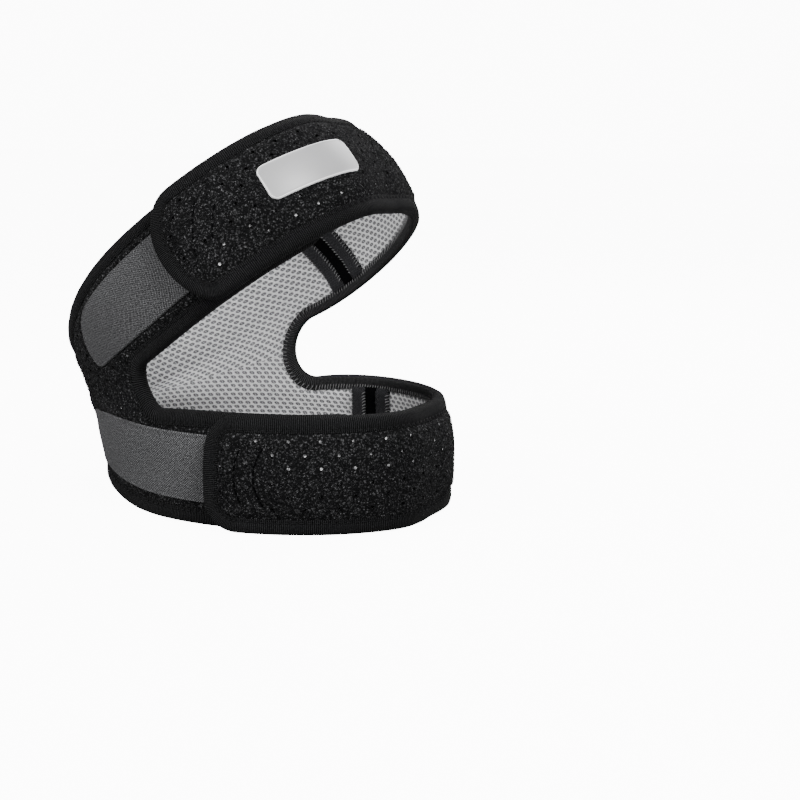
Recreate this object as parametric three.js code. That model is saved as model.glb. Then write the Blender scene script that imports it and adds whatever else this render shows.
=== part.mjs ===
// A patella strap: one padded laminate panel behind the knee that splits on each side into two arms.
// The long far arms wrap round the front, above and below the kneecap, and lap over the short near arms.
// Millimetres, degrees and +Z up. The back of the knee faces +Y and the open kneecap window faces -Y.
import * as THREE from "three";

// The lower ring and how the leg's wall bends back from it, above the back of the knee
const RING_HALF_WIDTH = 55;
const RING_HALF_DEPTH = 70;
const FRONT_FULLNESS = 1.8;
const BEND_ANGLE = 38.7;
const HINGE_STANDOFF = 16;
const LOWER_STRAIGHT = 28;
const UPPER_STRAIGHT = 29.3;
const UPPER_WIDTH_GROWTH = 8.3;
const UPPER_DEPTH_GROWTH = 6.8;
const UPPER_SIDE_SHIFT = 7.8;
const LOWER_FLARE = 1.3;
const UPPER_DRAW_IN = 4.2;
const BAND_BARREL = 2.1;
const BARREL_START_TURN = 45;
const BARREL_RISE_TURN = 60;
const LOWER_DRAW_IN = 2.6;
const LOWER_DRAW_START = 20;
const WAIST_FULLNESS = 5.4;
const WAIST_TURN = 100;
const WAIST_FROM = 4;
const WAIST_TO = 58;
const STRAP_BILLOW = 3.8;
const BILLOW_TURN = 225;
const BILLOW_REACH = 46;

// The flat pattern: band widths, the kneecap window's round ends and the hollowed edges behind the knee
const LOWER_BAND_WIDTH = 43.4;
const UPPER_BAND_WIDTH = 46.3;
const NEAR_TIP_TURN = 72.5;
const NEAR_TIP_RADIUS = 5;
const FAR_TIP_TURN = 72;
const FAR_TIP_RADIUS = 9.7;
const TIP_BLEND = 40;
const LOWER_EDGE_RISE = 10;
const LOWER_RISE_TURN = 79.4;
const UPPER_EDGE_DIP = 10;
const UPPER_DIP_TURN = 84.6;

// Where the arms end, and the corner rounding there
const SHORT_ARM_END = 150;
const LOWER_STRAP_END = 264;
const UPPER_STRAP_END = 258;
const ARM_CORNER_RADIUS = 13;
const UPPER_END_LENGTH = 16;
const UPPER_END_HEIGHT = 22;
const LAP_RISE_TURN = 27;
const LAP_EASE_TURN = 3;
const WHOLE_TURN = 360;

// The laminate, from the outside in, and how it is pressed thin along its edges
const CLEARANCE = 0.3;
const FACET_ALLOWANCE = 0.25;
const FOAM_THICKNESS = 3.4;
const LINING_THICKNESS = 1.1;
const EDGE_FOAM_THICKNESS = 1;
const PATCH_THICKNESS = 1;
const PATCH_SINK = 1;
const SINK_START_TURN = 14;
const SINK_LENGTH_TURN = 8;

// The edge tape, a U folded over the laminate's edge and sewn through
const TAPE_THICKNESS = 1;
const TAPE_SLACK = 0.4;
const TAPE_REACH = 7;
const TAPE_FOLD = 1.3;
const PRESS_MARGIN = 1;
const PRESSED_WIDTH = 12;

// The sewn-on patches: loop pads outside the short arms, hook pads inside the strap ends
const PAD_EDGE_MARGIN = 8.8;
const PAD_END_MARGIN = 11;
const LOWER_PAD_INNER_MARGIN = 8.8;
const UPPER_PAD_INNER_MARGIN = 10.1;
const LOWER_PAD_START = 28;
const UPPER_PAD_START = 56.5;
const PAD_CORNER_RADIUS = 9;
const UPPER_PAD_OUTER_CORNER = 13;
const UPPER_PAD_INNER_CORNER = 5;
const LOWER_PAD_OUTER_CORNER = 5;
const LOWER_PAD_INNER_CORNER = 9;
const PAD_OUTER_FLARE = 1.2;
const UPPER_PAD_TAPER = 7;
const LOWER_PAD_TAPER = 6;
const PAD_TAPER_LENGTH = 45;
const HOOK_PAD_START_SHARE = 0.3;

// The bare label on the upper strap
const LABEL_TURN = 211.9;
const LABEL_DROP = 22.9;
const LABEL_WIDTH = 39.5;
const LABEL_HEIGHT = 14.2;
const LABEL_TILT = 4.4;
const LABEL_CORNER = 3;

// The inner cross strips on the far side: two flaps with a velvet channel between them
const UPPER_STRIP_TURN = 97;
const LOWER_STRIP_TURN = 102.5;
const UPPER_STRIP_LEAN = 3;
const LOWER_STRIP_LEAN = -3;
const STRIP_MARGIN = 7.6;
const STRIP_FLAP_WIDTH = 7;
const FLAP_THICKNESS = 1.4;
const UPPER_VELVET_WIDTH = 5;
const LOWER_VELVET_WIDTH = 6;
const VELVET_THICKNESS = 1;

// How finely the surfaces are divided
const STRIP_ROWS = [0, 0.25, 0.5, 0.75, 1];
const TURN_STEP = 10;
const CORNER_STEPS = 3;
const TIP_STEPS = 6;

// Worked out from the sizes above
const LAMINATE_THICKNESS = FOAM_THICKNESS + CLEARANCE + LINING_THICKNESS;
const HALF_THICKNESS = LAMINATE_THICKNESS / 2;
const EDGE_HALF = (EDGE_FOAM_THICKNESS + CLEARANCE + LINING_THICKNESS) / 2;
const TAPE_INNER_HALF = EDGE_HALF + TAPE_SLACK;
const TAPE_OUTER_HALF = TAPE_INNER_HALF + TAPE_THICKNESS;
const PAD_TOP = HALF_THICKNESS - PATCH_SINK + CLEARANCE + PATCH_THICKNESS;
const LAP_LIFT = 2 * Math.max(PAD_TOP, TAPE_OUTER_HALF) + CLEARANCE + FACET_ALLOWANCE;
const FABRIC_INSET = TAPE_FOLD + 1.5 * CLEARANCE;
const PUFF_START = TAPE_REACH + PRESS_MARGIN;
const PUFF_END = PUFF_START + PRESSED_WIDTH;
const PUFF_MIDDLE = (PUFF_START + PUFF_END) / 2;
const LOWER_PAD_WIDTH = LOWER_BAND_WIDTH - PAD_EDGE_MARGIN - LOWER_PAD_INNER_MARGIN;
const UPPER_PAD_WIDTH = UPPER_BAND_WIDTH - PAD_EDGE_MARGIN - UPPER_PAD_INNER_MARGIN;
const LAP_FULL_TURN = WHOLE_TURN - SHORT_ARM_END - LAP_EASE_TURN;
const LAP_SUNK_TURN = LAP_FULL_TURN + SINK_LENGTH_TURN;
const PIVOT = RING_HALF_DEPTH + HINGE_STANDOFF;

const radians = (degrees) => (degrees * Math.PI) / 180;
const mix = (from, to, share) => from + (to - from) * share;

function smooth(x) {
  const share = Math.min(Math.max(x, 0), 1);
  return share * share * (3 - 2 * share);
}

// A raised cosine: 1 at zero, 0 at `reach` to either side.
function raisedCosine(turn, reach) {
  const share = Math.min(Math.abs(turn) / reach, 1);
  return 0.5 * (1 + Math.cos(Math.PI * share));
}

// The wall's distance from the bend's axis at a turn round the leg, measured from the back of the knee.
function bendRadius(turn) {
  return PIVOT - RING_HALF_DEPTH * Math.cos(radians(turn));
}

function bendLength(turn) {
  return bendRadius(turn) * radians(BEND_ANGLE);
}

function wallHeight(turn) {
  return LOWER_STRAIGHT + bendLength(turn) + UPPER_STRAIGHT;
}

// The lap is how far the far straps stand off, so that they lie over the short near arms.
function lap(turn) {
  return LAP_LIFT * smooth((turn - LAP_FULL_TURN + LAP_RISE_TURN) / LAP_RISE_TURN);
}

// How far the wall swells over the fold behind the knee, billows where the upper strap passes over the short
// arm's end, and draws in at the lower band's rim.
function fullness(turn, up, bent) {
  const rise = Math.min(Math.max((up - WAIST_FROM) / (WAIST_TO - WAIST_FROM), 0), 1);
  const waist = WAIST_FULLNESS * raisedCosine(turn, WAIST_TURN) * Math.sin(Math.PI * rise) ** 2;
  const billow = STRAP_BILLOW * raisedCosine(turn - BILLOW_TURN, BILLOW_REACH) * bent;
  const rim = Math.min(Math.max((up - LOWER_DRAW_START) / (LOWER_BAND_WIDTH - LOWER_DRAW_START), 0), 1);
  const side = smooth((Math.abs(turn) - BARREL_START_TURN) / BARREL_RISE_TURN);
  return waist + billow - LOWER_DRAW_IN * rim ** 2 * side * (1 - bent);
}

// The wall of the leg: `turn` round it from the back, `up` along it from the floor, `out` off its middle.
function wallPoint(turn, up, out) {
  const angle = radians(turn);
  const below = Math.min(up - LOWER_STRAIGHT, 0);
  const above = Math.max(up - LOWER_STRAIGHT - bendLength(turn), 0);
  const swept = Math.min(
    Math.max((up - LOWER_STRAIGHT) / bendRadius(turn), 0),
    radians(BEND_ANGLE),
  );
  const bent = smooth(swept / radians(BEND_ANGLE));
  const lowShare = Math.min(Math.max(up / LOWER_BAND_WIDTH, 0), 1);
  const highShare = Math.min(Math.max((wallHeight(turn) - up) / UPPER_BAND_WIDTH, 0), 1);
  const barrel =
    BAND_BARREL *
    smooth((Math.abs(turn) - BARREL_START_TURN) / BARREL_RISE_TURN) *
    4 *
    (lowShare * (1 - lowShare) + highShare * (1 - highShare));
  const radial =
    barrel +
    fullness(turn, up, bent) +
    lap(turn) +
    out +
    LOWER_FLARE * (below / LOWER_STRAIGHT) ** 2 -
    UPPER_DRAW_IN * (above / UPPER_STRAIGHT) ** 2;
  const halfWidth = RING_HALF_WIDTH + UPPER_WIDTH_GROWTH * bent - FRONT_FULLNESS * Math.cos(angle);
  const halfDepth = RING_HALF_DEPTH + UPPER_DEPTH_GROWTH * bent;
  const x = (halfWidth + radial) * Math.sin(angle) + UPPER_SIDE_SHIFT * bent;
  const toPivot = PIVOT - (halfDepth + radial) * Math.cos(angle);
  return new THREE.Vector3(
    x,
    PIVOT - toPivot * Math.cos(swept) + above * Math.sin(swept),
    LOWER_STRAIGHT + toPivot * Math.sin(swept) + above * Math.cos(swept) + below,
  );
}

// The cloth's measure at a place, in millimetres: how wide one degree of turn is and how far it climbs along
// the cloth's up lines, and how long one unit of up is.
function clothMeasure({ turn, up }) {
  const round = wallPoint(turn + 0.5, up, 0).sub(wallPoint(turn - 0.5, up, 0));
  const upward = wallPoint(turn, up + 0.5, 0).sub(wallPoint(turn, up - 0.5, 0));
  const rise = upward.length();
  const climb = round.dot(upward) / rise;
  return { width: Math.sqrt(round.lengthSq() - climb ** 2), climb, rise };
}

// The step between two places as millimetres across and along the cloth's up lines.
function clothStep({ width, climb, rise }, from, to) {
  const turn = to.turn - from.turn;
  return [width * turn, climb * turn + rise * (to.up - from.up)];
}

function millimetresPerDegree(turn, up) {
  return clothMeasure({ turn, up }).width;
}

// Half the window's height, `past` millimetres beyond its tip: a round end that opens to the bands' edges.
function windowHalf(past, straight, radius) {
  const tip = Math.min(Math.max(past / radius, 0), 1);
  const round = radius * radius * Math.exp(-Math.max(past - radius, 0) / TIP_BLEND);
  return Math.sqrt(1 - (1 - tip) ** 2) * Math.sqrt(Math.max(straight, 0) ** 2 + round);
}

function windowMiddle(turn) {
  return LOWER_STRAIGHT + bendLength(turn) / 2;
}

// The four edges of the flat pattern at a turn, each drawn in by `inset` from the finished outline.
function patternEdges(turn, inset) {
  const near = turn < 0;
  const radius = (near ? NEAR_TIP_RADIUS : FAR_TIP_RADIUS) + inset;
  const tipTurn = near ? NEAR_TIP_TURN : FAR_TIP_TURN;
  const middle = windowMiddle(turn);
  const scale = millimetresPerDegree(near ? -tipTurn : tipTurn, windowMiddle(tipTurn));
  const past = (Math.abs(turn) - tipTurn) * scale + inset;
  const height = wallHeight(turn);
  return {
    bottom: LOWER_EDGE_RISE * raisedCosine(turn, LOWER_RISE_TURN) + inset,
    low: middle - windowHalf(past, middle - LOWER_BAND_WIDTH + inset, radius),
    high: middle + windowHalf(past, height - middle - UPPER_BAND_WIDTH + inset, radius),
    top: height - UPPER_EDGE_DIP * raisedCosine(turn, UPPER_DIP_TURN) - inset,
  };
}

// The turn at which the window's tip lies once its outline is drawn in by `inset`.
function tipTurn(side, inset) {
  const turn = side < 0 ? NEAR_TIP_TURN : FAR_TIP_TURN;
  return side * (turn - inset / millimetresPerDegree(side * turn, windowMiddle(turn)));
}

// The four arms. `side` is -1 for the short near arms and 1 for the long far straps.
const ROUND_CORNER = [ARM_CORNER_RADIUS, ARM_CORNER_RADIUS];
const ARMS = {
  lowerShort: { side: -1, lower: true, end: SHORT_ARM_END, corner: ROUND_CORNER },
  upperShort: { side: -1, lower: false, end: SHORT_ARM_END, corner: ROUND_CORNER },
  lowerLong: { side: 1, lower: true, end: LOWER_STRAP_END, corner: ROUND_CORNER },
  upperLong: { side: 1, lower: false, end: UPPER_STRAP_END, corner: [UPPER_END_LENGTH, UPPER_END_HEIGHT] },
};

// The turn of an arm's end, and millimetres per degree there.
function armEnd(arm, inset) {
  const turn = arm.side * arm.end;
  const edges = patternEdges(turn, 0);
  const up = arm.lower ? (edges.bottom + edges.low) / 2 : (edges.high + edges.top) / 2;
  const scale = millimetresPerDegree(turn, up);
  return { turn: turn - (arm.side * inset) / scale, scale };
}

// An arm's two long edges at a turn, with the quarter-ellipse corners of its end.
function armEdges(arm, turn, inset) {
  const edges = patternEdges(turn, inset);
  const [from, to] = arm.lower ? [edges.bottom, edges.low] : [edges.high, edges.top];
  const end = armEnd(arm, inset);
  const short = Math.max(arm.side * (end.turn - turn) * end.scale, 0);
  const [length, height] = arm.corner.map((size) => size - inset);
  const past = Math.max(1 - short / length, 0);
  const lost = height * (1 - Math.sqrt(1 - past ** 2));
  return [from + lost, to - lost];
}

// The turns of an arm's columns: its tip, every whole step of turn, and closer ones round tip and corners.
function armTurns(arm, inset) {
  const start = tipTurn(arm.side, inset);
  const end = armEnd(arm, inset);
  const tipRadius = (arm.side < 0 ? NEAR_TIP_RADIUS : FAR_TIP_RADIUS) + inset;
  const tipScale = millimetresPerDegree(start, windowMiddle(start));
  const turns = [start, end.turn, start + (arm.side * 1.7 * tipRadius) / tipScale];
  for (let i = 1; i <= TIP_STEPS / 2; i++) {
    const past = tipRadius * (1 - Math.cos((Math.PI * i) / TIP_STEPS));
    turns.push(start + (arm.side * past) / tipScale);
  }
  for (let i = 1; i <= CORNER_STEPS; i++) {
    const back = (arm.corner[0] - inset) * (1 - Math.cos((Math.PI * i) / (2 * CORNER_STEPS)));
    turns.push(end.turn - (arm.side * back) / end.scale);
  }
  const [low, high] = [Math.min(start, end.turn), Math.max(start, end.turn)];
  return withWholeSteps(turns, low, high);
}

// The given turns with every multiple of the step between two limits, sorted, near doubles dropped.
function withWholeSteps(turns, low, high) {
  const all = [...turns];
  for (let turn = Math.ceil(low / TURN_STEP) * TURN_STEP; turn < high; turn += TURN_STEP)
    if (turns.every((other) => Math.abs(other - turn) > 1.2)) all.push(turn);
  return all.sort((a, b) => a - b);
}

// The places along an arm's low and high edges, from the window's tip to the arm's end.
function longEdges(arm, inset) {
  const turns = armTurns(arm, inset);
  if (arm.side < 0) turns.reverse();
  const low = turns.map((turn) => ({ turn, up: armEdges(arm, turn, inset)[0] }));
  const high = turns.map((turn) => ({ turn, up: armEdges(arm, turn, inset)[1] }));
  return { low, high };
}

// The panel's bottom or top edge between the two window tips.
function panelEdge(edge, inset) {
  const from = tipTurn(-1, inset);
  const to = tipTurn(1, inset);
  return withWholeSteps([from, to], from, to).map((turn) => ({
    turn,
    up: patternEdges(turn, inset)[edge],
  }));
}

// The outline's four runs: along the floor, round each side's window, and along the top.
function outlineRuns(inset) {
  const { lowerShort, upperShort, lowerLong, upperLong } = ARMS;
  const at = (arm) => longEdges(arm, inset);
  const halfEnd = (arm) => {
    const turn = armEnd(arm, inset).turn;
    const [low, high] = armEdges(arm, turn, inset);
    return { turn, up: (low + high) / 2 };
  };
  return {
    bottom: [
      halfEnd(lowerShort),
      ...at(lowerShort).low.reverse().slice(0, -1),
      ...panelEdge("bottom", inset),
      ...at(lowerLong).low.slice(1),
      halfEnd(lowerLong),
    ],
    farWindow: [
      halfEnd(lowerLong),
      ...at(lowerLong).high.reverse(),
      ...at(upperLong).low.slice(1),
      halfEnd(upperLong),
    ],
    top: [
      halfEnd(upperLong),
      ...at(upperLong).high.reverse().slice(0, -1),
      ...panelEdge("top", inset).reverse(),
      ...at(upperShort).high.slice(1),
      halfEnd(upperShort),
    ],
    nearWindow: [
      halfEnd(upperShort),
      ...at(upperShort).low.reverse(),
      ...at(lowerShort).high.slice(1),
      halfEnd(lowerShort),
    ],
  };
}

// The finished outline, used to tell how far a place on the cloth is from its edge.
const OUTLINE = Object.values(outlineRuns(0)).flat();

function edgeDistance(place) {
  const measure = clothMeasure(place);
  let nearest = Infinity;
  OUTLINE.forEach((from, i) => {
    const across = clothStep(measure, from, OUTLINE[(i + 1) % OUTLINE.length]);
    const reach = clothStep(measure, from, place);
    const length2 = across[0] ** 2 + across[1] ** 2;
    const along = length2 > 0 ? (across[0] * reach[0] + across[1] * reach[1]) / length2 : 0;
    const share = Math.min(Math.max(along, 0), 1);
    nearest = Math.min(
      nearest,
      Math.hypot(reach[0] - share * across[0], reach[1] - share * across[1]),
    );
  });
  return nearest;
}

// The laminate's four faces at a place: pressed thin at the edge, full inside, sunk where a pad is sewn on.
function laminate(place) {
  const puff = smooth((edgeDistance(place) - PUFF_START) / (PUFF_END - PUFF_START));
  const outerSink = PATCH_SINK * smooth((-place.turn - SINK_START_TURN) / SINK_LENGTH_TURN);
  const innerSink = PATCH_SINK * smooth((place.turn - LAP_FULL_TURN) / SINK_LENGTH_TURN);
  const foamOut = mix(EDGE_HALF, HALF_THICKNESS - outerSink, puff);
  const liningIn = -mix(EDGE_HALF, HALF_THICKNESS - innerSink, puff);
  const liningOut = liningIn + LINING_THICKNESS;
  return { foamOut, foamIn: liningOut + CLEARANCE, liningOut, liningIn };
}

// A closed solid from a sheet of quads: its outer face, its inner face and a wall round every free edge.
// `quads` indexes the corners in `places`, and `faceOuts` gives a corner's outer and inner offset.
function thickSheet(places, quads, faceOuts) {
  const count = places.length;
  const outs = places.map(faceOuts);
  const positions = [
    ...places.map((place, i) => wallPoint(place.turn, place.up, outs[i][0])),
    ...places.map((place, i) => wallPoint(place.turn, place.up, outs[i][1])),
  ];
  const triangles = [];
  const sides = new Map();
  for (const quad of quads) {
    const ring = quad.filter((corner, i) => corner !== quad[(i + 1) % quad.length]);
    for (let i = 2; i < ring.length; i++) {
      triangles.push([ring[0], ring[i - 1], ring[i]]);
      triangles.push([ring[0] + count, ring[i] + count, ring[i - 1] + count]);
    }
    ring.forEach((from, i) => {
      const to = ring[(i + 1) % ring.length];
      if (!sides.delete(`${to},${from}`)) sides.set(`${from},${to}`, [from, to]);
    });
  }
  for (const [from, to] of sides.values()) {
    triangles.push([from, from + count, to + count]);
    triangles.push([from, to + count, to]);
  }
  return closedGeometry(positions, triangles);
}

// An indexed geometry whose faces point outwards, whichever way round its triangles were listed.
function closedGeometry(positions, triangles) {
  const volume = triangles.reduce(
    (sum, [a, b, c]) =>
      sum + positions[a].dot(new THREE.Vector3().crossVectors(positions[b], positions[c])),
    0,
  );
  const facing = volume < 0 ? triangles.map(([a, b, c]) => [a, c, b]) : triangles;
  const geometry = new THREE.BufferGeometry().setFromPoints(positions);
  geometry.setIndex(facing.flat());
  geometry.computeVertexNormals();
  return geometry;
}

// Collects a sheet's corners, so that cells which meet share them.
function sheetBuilder() {
  const places = [];
  const quads = [];
  const known = new Map();
  const corner = (place) => {
    const key = `${place.turn.toFixed(5)} ${place.up.toFixed(5)}`;
    if (!known.has(key)) known.set(key, places.push(place) - 1);
    return known.get(key);
  };
  const addGrid = (columns) => {
    const grid = columns.map((column) => column.map(corner));
    for (let i = 1; i < grid.length; i++)
      for (let j = 1; j < grid[i].length; j++)
        quads.push([grid[i - 1][j - 1], grid[i][j - 1], grid[i][j], grid[i - 1][j]]);
  };
  return { places, quads, addGrid };
}

// The shares of a band's width at which its rows run: edge, edge of the tape, full thickness, middle.
function rowShares(width, inset) {
  const cloth = width - 2 * inset;
  const near = [0, (PUFF_START - inset) / cloth, (PUFF_MIDDLE - inset) / cloth];
  return [...near, 0.5, ...near.map((share) => 1 - share).reverse()];
}

// The whole laminate pattern as a sheet: the panel in two halves, and two arms on each side of it.
function patternSheet() {
  const sheet = sheetBuilder();
  const column = (turn, from, to, width) =>
    rowShares(width, FABRIC_INSET).map((share) => ({ turn, up: mix(from, to, share) }));
  const nearTip = tipTurn(-1, FABRIC_INSET);
  const farTip = tipTurn(1, FABRIC_INSET);
  const closeTurns = [nearTip, farTip];
  for (const reach of [PUFF_START, PUFF_END]) {
    closeTurns.push(tipTurn(-1, reach), tipTurn(1, reach));
  }
  const panelTurns = withWholeSteps(closeTurns, nearTip, farTip);
  for (const lower of [true, false]) {
    const width = lower ? LOWER_BAND_WIDTH : UPPER_BAND_WIDTH;
    sheet.addGrid(
      panelTurns.map((turn) => {
        const { bottom, top } = patternEdges(turn, FABRIC_INSET);
        const middle = windowMiddle(turn);
        return lower
          ? column(turn, bottom, middle, width)
          : column(turn, middle, top, width);
      }),
    );
  }
  for (const arm of Object.values(ARMS)) {
    const width = arm.lower ? LOWER_BAND_WIDTH : UPPER_BAND_WIDTH;
    sheet.addGrid(
      armTurns(arm, FABRIC_INSET).map((turn) => {
        const [from, to] = armEdges(arm, turn, FABRIC_INSET);
        return column(turn, from, to, width);
      }),
    );
  }
  return sheet;
}

// The tape's section: how far in from the outline, and how far off the middle of the wall.
const TAPE_SECTION = [
  { inward: TAPE_REACH, out: TAPE_OUTER_HALF },
  { inward: TAPE_THICKNESS, out: TAPE_OUTER_HALF },
  { inward: 0, out: TAPE_OUTER_HALF - TAPE_THICKNESS },
  { inward: 0, out: TAPE_THICKNESS - TAPE_OUTER_HALF },
  { inward: TAPE_THICKNESS, out: -TAPE_OUTER_HALF },
  { inward: TAPE_REACH, out: -TAPE_OUTER_HALF },
  { inward: TAPE_REACH, out: -TAPE_INNER_HALF },
  { inward: TAPE_FOLD, out: -TAPE_INNER_HALF },
  { inward: TAPE_FOLD, out: TAPE_INNER_HALF },
  { inward: TAPE_REACH, out: TAPE_INNER_HALF },
];

// A place moved `inward` across the cloth from station `i` of a run, square to the run's direction.
function movedInward(run, i, inward) {
  const here = run[i];
  const measure = clothMeasure(here);
  const step = (from, to) => {
    const [across, up] = clothStep(measure, from, to);
    const length = Math.hypot(across, up);
    return [across / length, up / length];
  };
  const before = i > 0 ? step(run[i - 1], here) : step(here, run[1]);
  const after = i < run.length - 1 ? step(here, run[i + 1]) : before;
  const along = [before[0] + after[0], before[1] + after[1]];
  const length = Math.hypot(...along);
  const turned = -(inward * along[1]) / length / measure.width;
  const raised = (inward * along[0]) / length - measure.climb * turned;
  return { turn: here.turn + turned, up: here.up + raised / measure.rise };
}

// The tape along one run of the outline, with its ends cut square a small gap short of the next run's.
function tapeGeometry(run) {
  const trimmed = run.map((place) => ({ ...place }));
  const trim = (end, next) => {
    const up = trimmed[next].up - trimmed[end].up;
    trimmed[end].up += (Math.sign(up) * CLEARANCE) / 2;
  };
  trim(0, 1);
  trim(run.length - 1, run.length - 2);
  const sides = TAPE_SECTION.length;
  const positions = trimmed.flatMap((_, i) =>
    TAPE_SECTION.map(({ inward, out }) => {
      const place = movedInward(trimmed, i, inward);
      return wallPoint(place.turn, place.up, out);
    }),
  );
  const triangles = [];
  for (let i = 1; i < trimmed.length; i++)
    for (let j = 0; j < sides; j++) {
      const [a, b] = [(i - 1) * sides + j, (i - 1) * sides + ((j + 1) % sides)];
      triangles.push([a, b, b + sides], [a, b + sides, a + sides]);
    }
  const contour = TAPE_SECTION.map(({ inward, out }) => new THREE.Vector2(inward, out));
  for (const [a, b, c] of THREE.ShapeUtils.triangulateShape(contour, [])) {
    const last = (trimmed.length - 1) * sides;
    triangles.push([a, b, c], [a + last, c + last, b + last]);
  }
  return closedGeometry(positions, orientedCaps(triangles, sides, trimmed.length));
}

// The two end caps are turned so that each runs against the side walls that it closes.
function orientedCaps(triangles, sides, stations) {
  const used = new Set();
  const walls = (stations - 1) * sides * 2;
  triangles.slice(0, walls).forEach(([a, b, c]) => {
    used.add(`${a},${b}`).add(`${b},${c}`).add(`${c},${a}`);
  });
  const flip = (list) =>
    list.some(([a, b, c]) => used.has(`${a},${b}`) || used.has(`${b},${c}`) || used.has(`${c},${a}`))
      ? list.map(([a, b, c]) => [a, c, b])
      : list;
  const caps = triangles.slice(walls);
  const first = caps.filter((triangle) => Math.max(...triangle) < sides);
  const last = caps.filter((triangle) => Math.max(...triangle) >= sides);
  return [...triangles.slice(0, walls), ...flip(first), ...flip(last)];
}

// A pad along a band: `margin` in from the band's long outer edge and `width` wide. At its start its outer
// border flares, its inner border tapers, and each turns a rounded corner.
function padGeometry({ lower, start, end, margin, width, outer: outerSide, inner: innerSide, from, to }) {
  const outer = (turn) => {
    const edges = patternEdges(turn, 0);
    return lower ? edges.bottom + margin : edges.top - margin;
  };
  const scale = millimetresPerDegree(start, outer(start));
  const turns = [start, end];
  for (const corner of new Set([outerSide.corner, innerSide.corner]))
    for (let i = 1; i <= CORNER_STEPS; i++) {
      const back = corner * (1 - Math.cos((Math.PI * i) / (2 * CORNER_STEPS)));
      turns.push(start + (Math.sign(end - start) * back) / scale);
    }
  const lost = ({ corner, taper }, past) => {
    const short = Math.max(corner - past, 0);
    const fade = Math.max(1 - past / PAD_TAPER_LENGTH, 0) ** 2;
    return corner - Math.sqrt(corner ** 2 - short ** 2) + taper * fade;
  };
  const sheet = sheetBuilder();
  const bandWidth = lower ? LOWER_BAND_WIDTH : UPPER_BAND_WIDTH;
  const rows = [PUFF_MIDDLE, bandWidth / 2, bandWidth - PUFF_MIDDLE];
  if (start < 0) rows.push((rows[0] + rows[1]) / 2, (rows[1] + rows[2]) / 2);
  const shares = [0, ...rows.sort((a, b) => a - b).map((row) => (row - margin) / width), 1];
  sheet.addGrid(
    withWholeSteps(turns, Math.min(start, end), Math.max(start, end)).map((turn) => {
      const past = Math.abs(turn - start) * scale;
      return shares.map((share) => {
        const across = mix(lost(outerSide, past), width - lost(innerSide, past), share);
        return { turn, up: outer(turn) + (lower ? across : -across) };
      });
    }),
  );
  return thickSheet(sheet.places, sheet.quads, () => [to, from]);
}

// A strip across a band between its two tapes, `offset` millimetres round from the strip's middle line.
function crossStripGeometry({ lower, middleTurn, leanTurn, offset, width, thickness }) {
  const sheet = sheetBuilder();
  const names = lower ? ["bottom", "low"] : ["high", "top"];
  const band = (turn) =>
    names.map((name, i) => {
      const [before, here, after] = [-1, 0, 1].map((step) => patternEdges(turn + step, 0)[name]);
      const { width: degree, climb } = clothMeasure({ turn, up: here });
      const slope = ((after - before) / 2 + climb) / degree;
      return here + (i === 0 ? 1 : -1) * STRIP_MARGIN * Math.hypot(1, slope);
    });
  const column = (across) =>
    STRIP_ROWS.map((share) => {
      const lean = middleTurn + leanTurn * (0.5 - share);
      const scale = millimetresPerDegree(lean, mix(...band(lean), share));
      const turn = lean + across / scale;
      return { turn, up: mix(...band(turn), share) };
    });
  sheet.addGrid([-0.5, 0, 0.5].map((share) => column(offset + share * width)));
  return thickSheet(sheet.places, sheet.quads, (place) => {
    const floor = laminate(place).liningIn - CLEARANCE - FACET_ALLOWANCE;
    return [floor, floor - thickness];
  });
}

// The label: a rounded rectangle laid on the strap, its long sides tilted a little to the strap's top edge.
function labelGeometry() {
  const sheet = sheetBuilder();
  const middleUp = patternEdges(LABEL_TURN, 0).top - LABEL_DROP;
  const scale = millimetresPerDegree(LABEL_TURN, middleUp);
  const tilt = radians(LABEL_TILT);
  const half = LABEL_WIDTH / 2;
  const corner = (i) => LABEL_CORNER * (1 - Math.cos((Math.PI * i) / (2 * CORNER_STEPS)));
  const rounded = Array.from({ length: CORNER_STEPS + 1 }, (_, i) => corner(i) - half);
  const straight = [-0.5, 0, 0.5].map((share) => share * (LABEL_WIDTH - 4 * LABEL_CORNER));
  const xs = [...rounded, ...straight, ...rounded.map((x) => -x).reverse()];
  sheet.addGrid(
    xs.map((x) => {
      const short = Math.max(LABEL_CORNER - (half - Math.abs(x)), 0);
      const lost = LABEL_CORNER - Math.sqrt(LABEL_CORNER ** 2 - short ** 2);
      return [-0.5, -0.17, 0.17, 0.5].map((share) => {
        const y = share * (LABEL_HEIGHT - 2 * lost);
        const turn = LABEL_TURN + (x * Math.cos(tilt) - y * Math.sin(tilt)) / scale;
        const drop = LABEL_DROP - x * Math.sin(tilt) - y * Math.cos(tilt);
        return { turn, up: patternEdges(turn, 0).top - drop };
      });
    }),
  );
  return thickSheet(sheet.places, sheet.quads, () => [
    HALF_THICKNESS + CLEARANCE + FACET_ALLOWANCE + PATCH_THICKNESS,
    HALF_THICKNESS + CLEARANCE + FACET_ALLOWANCE,
  ]);
}

const FINISHES = {
  loopFabric: { color: 0x232325, roughness: 0.95, metalness: 0 },
  meshLining: { color: 0xcdcdcd, roughness: 0.9, metalness: 0 },
  edgeTape: { color: 0x1b1b1c, roughness: 0.8, metalness: 0 },
  loopPad: { color: 0x5a5b5d, roughness: 0.95, metalness: 0 },
  hookPad: { color: 0x2a2a2c, roughness: 0.7, metalness: 0 },
  label: { color: 0xc6c6c8, roughness: 0.5, metalness: 0 },
  velvet: { color: 0x0b0b0c, roughness: 1, metalness: 0 },
};

function piece(name, finish, geometry) {
  const mesh = new THREE.Mesh(geometry, new THREE.MeshStandardMaterial(FINISHES[finish]));
  mesh.name = name;
  return mesh;
}

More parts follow.
